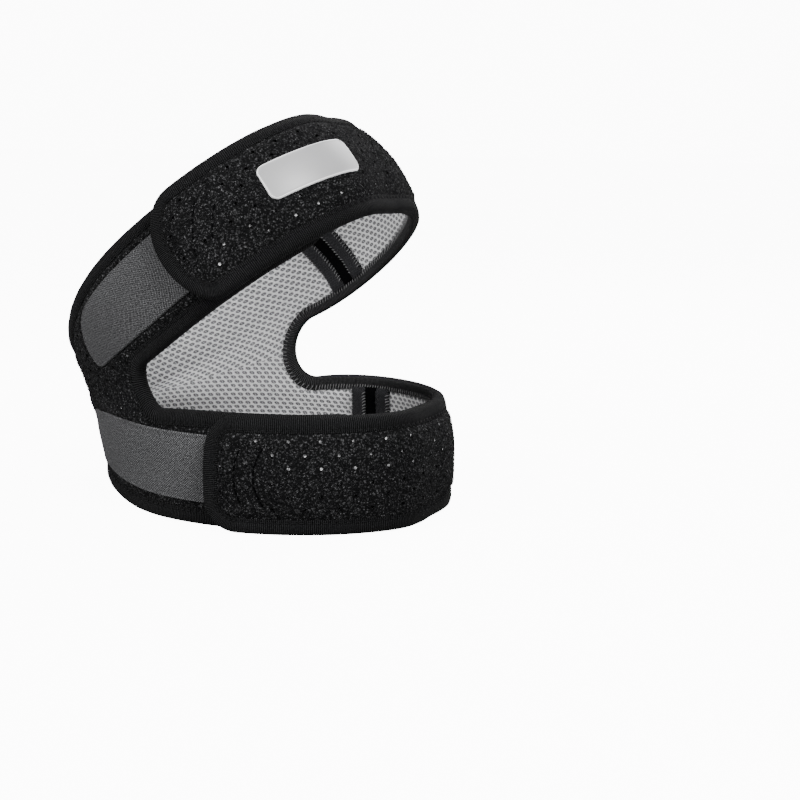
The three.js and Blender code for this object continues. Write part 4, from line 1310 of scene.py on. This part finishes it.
    def build_outer(self, fabric: bpy.types.Material, mesh: bpy.types.Material) -> bpy.types.Object:
        """The outer cloth: a pierced sheet, each hole walled down to a round of the light mesh below it."""
        grid = ClothGrid(self.pattern, self.inset, self.outer_pitch)
        centre, ring, keep_lower, keep_upper = self.pierced(grid)
        out = self.outer(grid.turn, grid.up)
        out += self.grain * np.random.default_rng(GRAIN_SEED).standard_normal(out.size)
        out[ring] -= self.hole_dip
        points = self.pattern.wall.point(grid.turn, grid.up, out)
        bottom = out[centre] - self.hole_depths(grid.turn[centre], grid.up[centre])
        floor_out = np.repeat(bottom[:, None], 8, axis=1)
        floor = self.pattern.wall.point(grid.turn[ring], grid.up[ring], floor_out).reshape(-1, 3)
        points[centre] = self.pattern.wall.point(grid.turn[centre], grid.up[centre], bottom)
        floor_index = len(points) + np.arange(ring.size).reshape(ring.shape)
        after, floor_after = np.roll(ring, -1, axis=1), np.roll(floor_index, -1, axis=1)
        walls = np.stack([ring, after, floor_after, floor_index], axis=-1).reshape(-1, 4)
        middles = np.repeat(centre[:, None], 8, axis=1)
        bottoms = np.stack([floor_index, floor_after, middles], axis=-1).reshape(-1, 3)
        below, above = grid.flat(self.along.length(grid.turn))
        below, above = (np.concatenate([uv, uv[ring.ravel()]]) for uv in (below, above))
        sets = [
            FaceSet(grid_quads(grid.lower)[keep_lower], below),
            FaceSet(grid_quads(grid.upper)[keep_upper], above),
            FaceSet(walls, below),
            FaceSet(bottoms, below, 1),
        ]
        LOG.info("outer cloth: %d holes", len(centre))
        piece = make_object("perforated_cloth", np.concatenate([points, floor]), sets, [fabric, mesh])
        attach(piece, "root")
        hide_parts("padded_shell")
        return piece

    def build_lining(self, mesh: bpy.types.Material) -> bpy.types.Object:
        """The air mesh: a sheet facing the leg."""
        grid = ClothGrid(self.pattern, self.inset, self.inner_pitch)
        points = self.pattern.wall.point(grid.turn, grid.up, self.inner(grid.turn, grid.up))
        below, above = grid.flat(self.along.length(grid.turn))
        sets = [FaceSet(grid_quads(grid.lower, True), below), FaceSet(grid_quads(grid.upper, True), above)]
        piece = make_object("air_mesh_lining", points, sets, [mesh])
        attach(piece, "root")
        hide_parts("mesh_lining")
        return piece

    def build_curls(self, count: int, curl: bpy.types.Material) -> bpy.types.Object:
        """Loose loops brushed up from the cloth: half circles of thread in random places and ways."""
        chance = np.random.default_rng(CURL_SEED)
        grid = ClothGrid(self.pattern, self.curl_inset, self.inner_pitch)
        quads = np.concatenate([grid_quads(grid.lower), grid_quads(grid.upper)])
        quads = quads[chance.integers(0, len(quads), count * 2)]
        first, second = chance.random((len(quads), 2)).T
        shares = [(1 - first) * (1 - second), (1 - first) * second, first * second, first * (1 - second)]
        turn, up = (np.sum(line[quads] * np.stack(shares, axis=-1), axis=1) for line in (grid.turn, grid.up))
        clear = self.clear_of(turn, up, self.curl_patch_margin, self.curl_seam_margin)
        turn, up = turn[clear][:count], up[clear][:count]
        out = self.outer(turn, up)
        base = self.pattern.wall.point(turn, up, out)
        normal = self.pattern.wall.outward(turn, up)
        spin = chance.random(len(turn)) * 2.0 * np.pi
        level = np.cross(normal, np.array([0.0, 0.0, 1.0]))
        level /= np.linalg.norm(level, axis=-1, keepdims=True)
        lean = np.cos(spin)[:, None] * level + np.sin(spin)[:, None] * np.cross(normal, level)
        angle = np.linspace(0.0, np.pi, 4)
        reach = (self.curl_reach + self.curl_more_reach * chance.random(len(turn)))[:, None, None]
        rise = (self.curl_rise + self.curl_more_rise * chance.random(len(turn)))[:, None, None]
        paths = base[:, None, :] + reach * np.cos(angle)[None, :, None] * lean[:, None, :]
        paths = paths + (rise * np.sin(angle)[None, :, None] - self.curl_sink) * normal[:, None, :]
        piece = thread_object("brushed_curls", paths, np.cross(normal, lean), self.curl_radius, 3, curl)
        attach(piece, "root")
        return piece


@dataclass
class EdgeTape:
    """The ribbed binding folded over the whole cut edge, with its seam and its overcast threads inside."""

    edge: EdgeLine
    cloth: PaddedCloth
    reach: float = 6.2
    crown: float = 2.42
    tuck: float = 1.3
    fold: float = 1.5
    seam_inward: float = 5.0
    seam_level: float = 2.0
    seam_spread: float = 0.6
    seam_dent: float = 0.46
    stiff_inward: float = 3.5
    sway: float = 0.35
    sway_run: float = 2.0
    drift_from: float = 1.5
    rib_pitch: float = 0.72
    stitch_pitch: float = 2.8
    stitch_half: float = 1.05
    stitch_rise: float = 0.22
    stitch_sink: float = 0.1
    stitch_radius: float = 0.15
    overcast_pitch: float = 1.45
    overcast_start: float = 3.7
    overcast_reach: float = 3.2
    overcast_wander: float = 0.6
    overcast_slant: float = 0.9
    overcast_rise: float = 0.34
    overcast_sink: float = 0.03
    overcast_radius: float = 0.2

    def section(self) -> tuple[Array, Array]:
        """The tape's section as ways inward and out: a leg, a half-ellipse fold and the same leg inside."""
        shoulder = self.crown - 0.06
        leg_in, leg_out = np.array(
            [
                (self.reach, self.tuck),
                (self.reach - 0.1, 1.85),
                (self.reach - 0.5, 2.1),
                (self.seam_inward, 1.98),
                (self.seam_inward - 0.7, 2.22),
                (self.stiff_inward, shoulder),
                (2.6, self.crown),
                (self.fold, shoulder),
            ]
        ).T
        turn = np.radians(np.array([66.0, 42.0, 20.0, 0.0, -20.0, -42.0, -66.0]))
        fold_in = self.fold * (1.0 - np.cos(turn))
        fold_out = shoulder * np.sin(turn)
        section_in = np.concatenate([leg_in, fold_in, leg_in[::-1]])
        return section_in, np.concatenate([leg_out, fold_out, -leg_out[::-1]])

    def build(self, materials: list[bpy.types.Material]) -> bpy.types.Object:
        """The tape: its section carried round the closed edge, dented at each stitch of its seam."""
        inward, out = self.section()
        at = self.edge.at
        stitches = round(self.edge.total / self.stitch_pitch)
        beat = 0.5 + 0.5 * np.cos(2.0 * np.pi * at * stitches / self.edge.total)
        loose = smooth((inward - self.stiff_inward) / self.sway_run)
        swayed = inward[None, :] + self.sway * (beat[:, None] - 0.5) * loose[None, :]
        turn, up = self.edge.place(np.repeat(at[:, None], len(inward), axis=1), swayed)
        seam = np.exp(-(((inward - self.seam_inward) / self.seam_spread) ** 2))
        dent = self.seam_dent * beat[:, None] * seam[None, :]
        drift = sum(depth * np.sin(at * pace + begin) for depth, pace, begin in TAPE_WAVES)
        drifting = np.abs(out) > self.drift_from
        level = out[None, :] - np.sign(out)[None, :] * (dent - drift[:, None] * drifting[None, :])
        points = self.edge.wall.point(turn, up, level)
        points[..., 2] = np.maximum(points[..., 2], 0.0)
        stations, sides = turn.shape
        index = np.arange(turn.size).reshape(turn.shape)
        wrapped = np.concatenate([index, index[:1]])
        quads = tube_quads(np.concatenate([wrapped, wrapped[:, :1]], axis=1))
        lengths = np.concatenate([[0.0], np.cumsum(np.hypot(np.diff(inward), np.diff(out)))])
        ribs = round(self.edge.total / self.rib_pitch)
        rib_at = np.arange(stations + 1) * ribs / stations
        uv_grid = np.stack(np.meshgrid(rib_at, np.append(lengths, lengths[-1]), indexing="ij"), axis=-1)
        corner = np.arange((stations + 1) * (sides + 1)).reshape(stations + 1, sides + 1)
        side = np.tile(np.arange(sides), stations)
        # The faces inside the fold take the lighter copy of the tape's finish: painted light on the inner
        # tape.
        outside = (side < sides // 2 + 2) | (side == sides - 1)
        places = uv_grid.reshape(-1, 2)[tube_quads(corner)]
        order = np.concatenate([np.flatnonzero(outside), np.flatnonzero(~outside)])
        return self._finished(points, [quads[outside], quads[~outside]], places[order], materials)

    def _finished(
        self, points: Array, quads: list[Array], corner_uv: Array, materials: list[bpy.types.Material]
    ) -> bpy.types.Object:
        """The tape's object, with texture places given corner by corner because the loop closes on itself."""
        blank = np.zeros((points.size // 3, 2))
        sets = [FaceSet(faces, blank, number) for number, faces in enumerate(quads)]
        piece = make_object("binding_tape", points.reshape(-1, 3), sets, materials)
        layer = piece.data.uv_layers[TEXTURE_LAYER]
        layer.data.foreach_set("uv", corner_uv.astype(np.float32).ravel())
        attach(piece, "root")
        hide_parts("bottom_edge_tape", "far_window_tape", "top_edge_tape", "near_window_tape")
        return piece

    def build_seam(self, thread: bpy.types.Material) -> bpy.types.Object:
        """The seam's stitches on the outside: short threads that dip in at both ends."""
        count = round(self.edge.total / self.stitch_pitch)
        middle = (np.arange(count) + 0.5) * self.edge.total / count
        step = np.linspace(-1.0, 1.0, 6)[None, :]
        turn, up = self.edge.place(middle[:, None] + self.stitch_half * step, self.seam_inward)
        out = self.seam_level + self.stitch_rise * (1.0 - step**4) - self.stitch_sink
        normal = self.edge.wall.outward(turn[:, 2], up[:, 2])
        paths = self.edge.wall.point(turn, up, out)
        piece = thread_object("tape_seam", paths, normal, self.stitch_radius, 5, thread)
        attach(piece, "root")
        return piece

    def build_overcast(self, thread: bpy.types.Material) -> bpy.types.Object:
        """The overcast threads inside: slanted loops from the tape's inner edge onto the mesh."""
        count = round(self.edge.total / self.overcast_pitch)
        first = np.arange(count) * self.edge.total / count
        share = np.linspace(0.0, 1.0, 6)
        wander = self.overcast_wander * np.sin(np.arange(count) * 2.4)
        inward = self.overcast_start + (self.overcast_reach + wander)[:, None] * share[None, :]
        turn, up = self.edge.place(first[:, None] + self.overcast_slant * share[None, :], inward)
        surface = self.cloth.inner(turn.ravel(), up.ravel()).reshape(turn.shape)
        tape = -mix(2.2, 1.9, share)
        out = np.minimum(surface, np.where(inward < self.reach, tape[None, :], surface))
        out = out - self.overcast_rise * np.sin(np.pi * share)[None, :] + self.overcast_sink
        normal = self.edge.wall.outward(turn[:, 2], up[:, 2])
        paths = self.edge.wall.point(turn, up, out)
        piece = thread_object("overcast_threads", paths, normal, self.overcast_radius, 5, thread)
        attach(piece, "root")
        return piece


@dataclass
class PadMaker:
    """Builds the loop pads outside the short arms and dresses the hook pads inside the strap ends."""

    pattern: StrapPattern
    top: float = 2.62
    seat: float = 1.2
    pitch: float = 0.9
    edge_round: float = 0.35
    seam_inward: float = 1.5
    seam_spread: float = 0.5
    seam_depth: float = 0.16
    stitch_pull: float = 0.12
    stitch_pitch: float = 2.6
    lump: float = 0.06

    def build(self, pad: LoopPad, material: bpy.types.Material) -> bpy.types.Object:
        """A loop pad: flat, with its border pressed down by the seam that runs just inside it."""
        patch = pad.patch(self.pattern)
        x, y = patch.grid(self.pitch)
        inside = patch.inside(x, y)
        seam = np.exp(-(((inside - self.seam_inward) / self.seam_spread) ** 2))
        pull = self.stitch_pull * (0.5 + 0.5 * np.cos(2.0 * np.pi * (x + y) / self.stitch_pitch))
        out = mix(self.seat, self.top, smooth(inside / self.edge_round)) - seam * (self.seam_depth + pull)
        turn, up = pad.to_place(self.pattern, x, y)
        out = out + self.lump * lumps(turn * 1.7, up * 1.9)
        points = self.pattern.wall.point(turn, up, out)
        piece = sheet_object(pad.name + "_face", points, (x, y), material, inward=pad.arm.lower)
        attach(piece, "root")
        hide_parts(pad.name)
        return piece

    @staticmethod
    def dress_hook(node: bpy.types.Object, material: bpy.types.Material) -> None:
        """A hook pad lies hidden under its strap end: the CAD solid stays and takes the hook finish."""
        node.material_slots[0].material = material


@dataclass(frozen=True)
class CrossStrip:
    """An inner strip across a band: two overlocked flaps with a velvet channel between."""

    band: str
    lower: bool
    turn: float
    lean: float
    velvet: float
    lip: float
    flap: float = 7.0
    gap: float = 0.3
    margin: float = 4.9
    seat: float = 1.9
    flap_rise: float = 4.05
    velvet_rise: float = 3.2
    thin: float = 0.55
    end_fade: float = 0.06
    tuck: float = 0.3
    flat_length: float = 28.0
    loop_pitch: float = 1.15
    loop_wrap: float = 1.7
    loop_length: float = 29.0
    loop_share: float = 0.86
    loop_start: float = 0.07
    loop_slant: float = 0.45
    loop_swing: float = 0.09
    loop_sink: float = 0.55
    loop_hang: float = 2.35
    loop_bow: float = 0.35
    loop_radius: float = 0.19

    def place(self, pattern: StrapPattern, across: Array, share: Array) -> tuple[Array, Array]:
        """Strip coordinates as places: millimetres round from its middle line, and a share of its length."""
        lean = self.turn + self.lean * (0.5 - share)
        start, end = self._ends(pattern, lean)
        scale = pattern.wall.measure(lean, mix(start, end, share))[0]
        turn = lean + across / scale
        start, end = self._ends(pattern, turn)
        return turn, mix(start, end, share)

    def _ends(self, pattern: StrapPattern, turn: Array) -> tuple[Array, Array]:
        """The ups at which the strip starts and ends, under the tapes."""
        bottom, low, high, top = pattern.edges(turn)
        start, end = (bottom, low) if self.lower else (high, top)
        return start + self.margin, end - self.margin

    def ribbon(
        self, name: str, cloth: PaddedCloth, offset: float, width: float, rise: float, lip: float, looks: Look
    ) -> bpy.types.Object:
        """One ribbon of the strip: crowned across, and thinned where its ends run under the tapes.

        Its way in is a rounded step across it, 1 - (2x/w)^6, with a lip along one side.
        """
        across = width * np.concatenate([[-0.5, -0.498], np.linspace(-0.47, 0.47, 13), [0.498, 0.5]])
        share = np.linspace(0.0, 1.0, 34)
        x, v = np.meshgrid(across, share, indexing="ij")
        turn, up = self.place(cloth.pattern, x + offset, v)
        crown = 1.0 - np.abs(2.0 * x / width) ** 6
        ends = smooth(v / self.end_fade) * smooth((1.0 - v) / self.end_fade)
        edge = np.exp(-(((x + 0.36 * width) / (0.09 * width)) ** 2))
        height = (rise - self.seat) * mix(self.thin, 1.0, crown) * mix(self.thin, 1.0, ends)
        depth = self.seat + height + lip * edge * ends
        depth = np.where(np.abs(x) >= 0.4999 * width, self.seat - self.tuck, depth)
        points = cloth.pattern.wall.point(turn, up, -depth)
        flat = x, v * self.flat_length
        piece = sheet_object(f"{self.band}_{name}_cloth", points, flat, looks.material, inward=True)
        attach(piece, "root")
        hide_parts(f"{self.band}_{name}")
        return piece

    def overlock(self, cloth: PaddedCloth, thread: bpy.types.Material) -> bpy.types.Object:
        """Overlocked edges: loops of thread that wrap each long side of both flaps and hang onto the mesh."""
        reach = self.velvet / 2.0 + self.gap
        sides = [(-reach - self.flap, -1.0), (-reach, 1.0), (reach, -1.0), (reach + self.flap, 1.0)]
        count = int(self.loop_length * self.loop_share / self.loop_pitch)
        share = self.loop_start + self.loop_share * (np.arange(count) + 0.5) / count
        step = np.linspace(-1.0, 1.0, 7)[None, :]
        swing = self.loop_swing * np.sin(np.arange(count) * 1.9)[:, None]
        slant = (self.loop_slant * step + swing) * self.loop_pitch / self.loop_length
        paths, normals = [], []
        for offset, outward in sides:
            hang = 1.0 if abs(offset) > reach + 1.0 else 0.25
            over = step * (self.loop_wrap + hang) / 2.0 + (hang - self.loop_wrap) / 2.0 + swing
            turn, up = self.place(cloth.pattern, offset + outward * over, share[:, None] + slant)
            depth = np.where(over > 0.0, self.loop_hang, self.flap_rise - self.loop_sink)
            depth = depth + self.loop_bow * np.cos(np.pi * step / 2.0)
            paths.append(cloth.pattern.wall.point(turn, up, -depth))
            normals.append(cloth.pattern.wall.outward(turn[:, 3], up[:, 3]))
        lines, sides_up = np.concatenate(paths), np.concatenate(normals)
        piece = thread_object(f"{self.band}_overlock", lines, sides_up, self.loop_radius, 5, thread)
        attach(piece, "root")
        return piece

    def build(
        self, cloth: PaddedCloth, flap: Look, velvet: Look, thread: bpy.types.Material
    ) -> list[bpy.types.Object]:
        """The strip's two flaps, its velvet, which runs under both of them, and its threads."""
        reach = self.velvet / 2.0 + self.gap + self.flap / 2.0
        channel = self.velvet + 3.0 * self.gap
        return [
            self.ribbon("back_flap", cloth, -reach, self.flap, self.flap_rise, 0.0, flap),
            self.ribbon("front_flap", cloth, reach, self.flap, self.flap_rise, self.lip, flap),
            self.ribbon("velvet_strip", cloth, 0.0, channel, self.velvet_rise, 0.0, velvet),
            self.overlock(cloth, thread),
        ]


def aimed(right: Array, upward: Array, back: Array, place: Array) -> Matrix:
    """The matrix of a camera or a light from its three own axes and its place."""
    matrix = np.eye(4)
    matrix[:3] = np.stack([right, upward, back, place], axis=-1)
    return Matrix(matrix.tolist())


@dataclass(frozen=True)
class PhotoCamera:
    """The photograph's camera, placed from the lower ring's axis in millimetres and aimed in degrees."""

    place: tuple[float, float, float] = (-523.7, -326.6, 148.5)
    heading: float = 207.27
    climb: float = 10.11
    roll: float = 0.51
    focal_pixels: float = 1545.8
    image_pixels: float = 800.0
    sensor: float = 36.0

    def build(self, wall: LegWall) -> None:
        """Sets the scene's camera: its back axis lies along the heading and climb, and it rolls about it."""
        data = bpy.data.cameras.new("photo_camera")
        data.sensor_width = self.sensor
        data.lens = self.focal_pixels / self.image_pixels * self.sensor
        data.clip_start, data.clip_end = 0.01, 20.0
        camera = bpy.data.objects.new("photo_camera", data)
        heading, climb, roll = (math.radians(value) for value in (self.heading, self.climb, self.roll))
        out = math.cos(climb)
        back = np.array([out * math.cos(heading), out * math.sin(heading), math.sin(climb)])
        level = np.array([-math.sin(heading), math.cos(heading), 0.0])
        upright = np.cross(back, level)
        right = math.cos(roll) * level + math.sin(roll) * upright
        upward = np.cross(back, right)
        place = (np.array(self.place) + np.array([wall.axis_x, wall.axis_y, 0.0])) * MM
        camera.matrix_world = aimed(right, upward, back, place)
        bpy.context.scene.collection.objects.link(camera)
        bpy.context.scene.camera = camera


@dataclass(frozen=True)
class Studio:
    """A white floor and soft lights round the strap."""

    floor_size: float = 12.0
    floor_gap: float = 0.0004
    world_strength: float = 0.45
    backdrop: float = 11.0
    lift: float = 11.0
    aim_height: float = 0.07

    def build(self) -> None:
        """The floor, the world and four area lights."""
        mesh = bpy.data.meshes.new("studio_floor")
        half = self.floor_size / 2.0
        square = ((-half, -half), (half, -half), (half, half), (-half, half))
        mesh.from_pydata([(x, y, -self.floor_gap) for x, y in square], [], [(0, 1, 2, 3)])
        floor = bpy.data.objects.new("studio_floor", mesh)
        mesh.materials.append(self._floor_finish())
        bpy.context.scene.collection.objects.link(floor)
        world = bpy.data.worlds.new("studio_world")
        world.use_nodes = True
        graph = Graph(world.node_tree)
        background = world.node_tree.nodes["Background"]
        background.inputs[0].default_value = (1.0, 1.0, 1.0, 1.0)
        seen = graph.node("LightPath").outputs["Is Camera Ray"]
        graph.feed(background.inputs[1], graph.math("MULTIPLY_ADD", seen, self.backdrop, self.world_strength))
        bpy.context.scene.world = world
        self.light("key_light", (-0.4, -0.8, 0.95), size=0.5, power=28.0)
        self.light("side_light", (-0.8, 0.5, 0.7), size=0.5, power=22.0)
        self.light("fill_light", (-0.5, -0.9, 0.3), size=0.6, power=4.0)
        self.light("back_light", (0.75, -0.1, 0.75), size=0.5, power=14.0)

    def _floor_finish(self) -> bpy.types.Material:
        """White paper, lifted towards the backdrop's white for the camera."""
        material = bpy.data.materials.new("studio_white")
        material.use_nodes = True
        graph = Graph(material.node_tree)
        shader = material.node_tree.nodes["Principled BSDF"]
        shader.inputs["Base Color"].default_value = (0.35, 0.35, 0.35, 1.0)
        shader.inputs["Roughness"].default_value = 0.9
        shader.inputs["Emission Color"].default_value = (1.0, 1.0, 1.0, 1.0)
        seen = graph.node("LightPath").outputs["Is Camera Ray"]
        graph.feed(shader.inputs["Emission Strength"], graph.math("MULTIPLY", seen, self.lift))
        return material

    def light(self, name: str, place: tuple[float, float, float], size: float, power: float) -> None:
        """A square light that faces the middle of the strap."""
        data = bpy.data.lights.new(name, "AREA")
        data.size, data.energy = size, power
        lamp = bpy.data.objects.new(name, data)
        back = np.array(place) - np.array([0.0, 0.0, self.aim_height])
        back /= np.linalg.norm(back)
        right = np.cross([0.0, 0.0, 1.0], back)
        right /= np.linalg.norm(right)
        lamp.matrix_world = aimed(right, np.cross(back, right), back, np.array(place))
        bpy.context.scene.collection.objects.link(lamp)


def corners(box: tuple) -> list[list[float]]:
    """A box's two corners as plain numbers."""
    return [[float(value) for value in corner] for corner in box]


def main() -> None:
    """Loads the frame and builds the camera, the studio and the strap."""
    logging.basicConfig(level=logging.INFO, format="%(name)s: %(message)s")
    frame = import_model()
    wall = LegWall()
    PhotoCamera().build(wall)
    Studio().build()
    patterns = Patterns()
    cloth_finishes = (BRUSHED, CURL, RIBBED, RIBBED_INSIDE_PAINTED_LIGHT, AIR_MESH, LOOP_PAD, HOOK_PAD)
    trim_finishes = (FLAP, OVERCAST, VELVET_AND_SEAM_SHADE, THREAD, LABEL_FACE, LABEL_RIM)
    fabric, curl, ribbed, ribbed_inside_painted_light, air_mesh, loop, hook = (
        finish.build(patterns) for finish in cloth_finishes
    )
    flap, overcast, velvet, thread, face, rim = (finish.build(patterns) for finish in trim_finishes)
    pattern = StrapPattern(wall)
    edge = EdgeLine(pattern, pitch=0.75)
    pads = [
        LoopPad(
            "lower_loop_pad", Arm.LOWER_SHORT, start_turn=28.0, width=25.8,
            outer_corner=5.0, inner_corner=9.0, inner_taper=6.0,
        ),
        LoopPad(
            "upper_loop_pad", Arm.UPPER_SHORT, start_turn=56.5, width=27.4,
            outer_corner=13.0, inner_corner=5.0, inner_taper=7.0,
        ),
    ]
    label = StrapLabel()
    cloth = PaddedCloth(pattern, edge, pads, label, FlatLength(wall))
    tape = EdgeTape(edge, cloth)
    maker = PadMaker(pattern)
    pieces = [
        cloth.build_outer(fabric, air_mesh),
        cloth.build_lining(air_mesh),
        cloth.build_curls(CURL_COUNT, curl),
        # The tab stitches take the near-black velvet finish, darker than the black thread: painted shade
        # along the sunk seam lines.
        cloth.build_tab_stitches(velvet),
        tape.build([ribbed, ribbed_inside_painted_light]),
        tape.build_seam(thread),
        tape.build_overcast(overcast),
        label.build(pattern, [face, rim]),
    ]
    pieces += [maker.build(pad, loop) for pad in pads]
    for node in ("lower_hook_pad", "upper_hook_pad"):
        maker.dress_hook(frame["nodes"][node], hook)
    strips = [
        CrossStrip("upper", lower=False, turn=97.0, lean=3.0, velvet=5.0, lip=0.0),
        CrossStrip("lower", lower=True, turn=102.5, lean=-3.0, velvet=6.0, lip=0.8),
    ]
    for strip in strips:
        pieces += strip.build(cloth, Look(flap, "loop_fabric"), Look(velvet, "velvet"), overcast)
    for piece in pieces:
        triangles = sum(len(face.vertices) - 2 for face in piece.data.polygons)
        LOG.info("%s: %d triangles", piece.name, triangles)


if __name__ == "__main__":
    main()
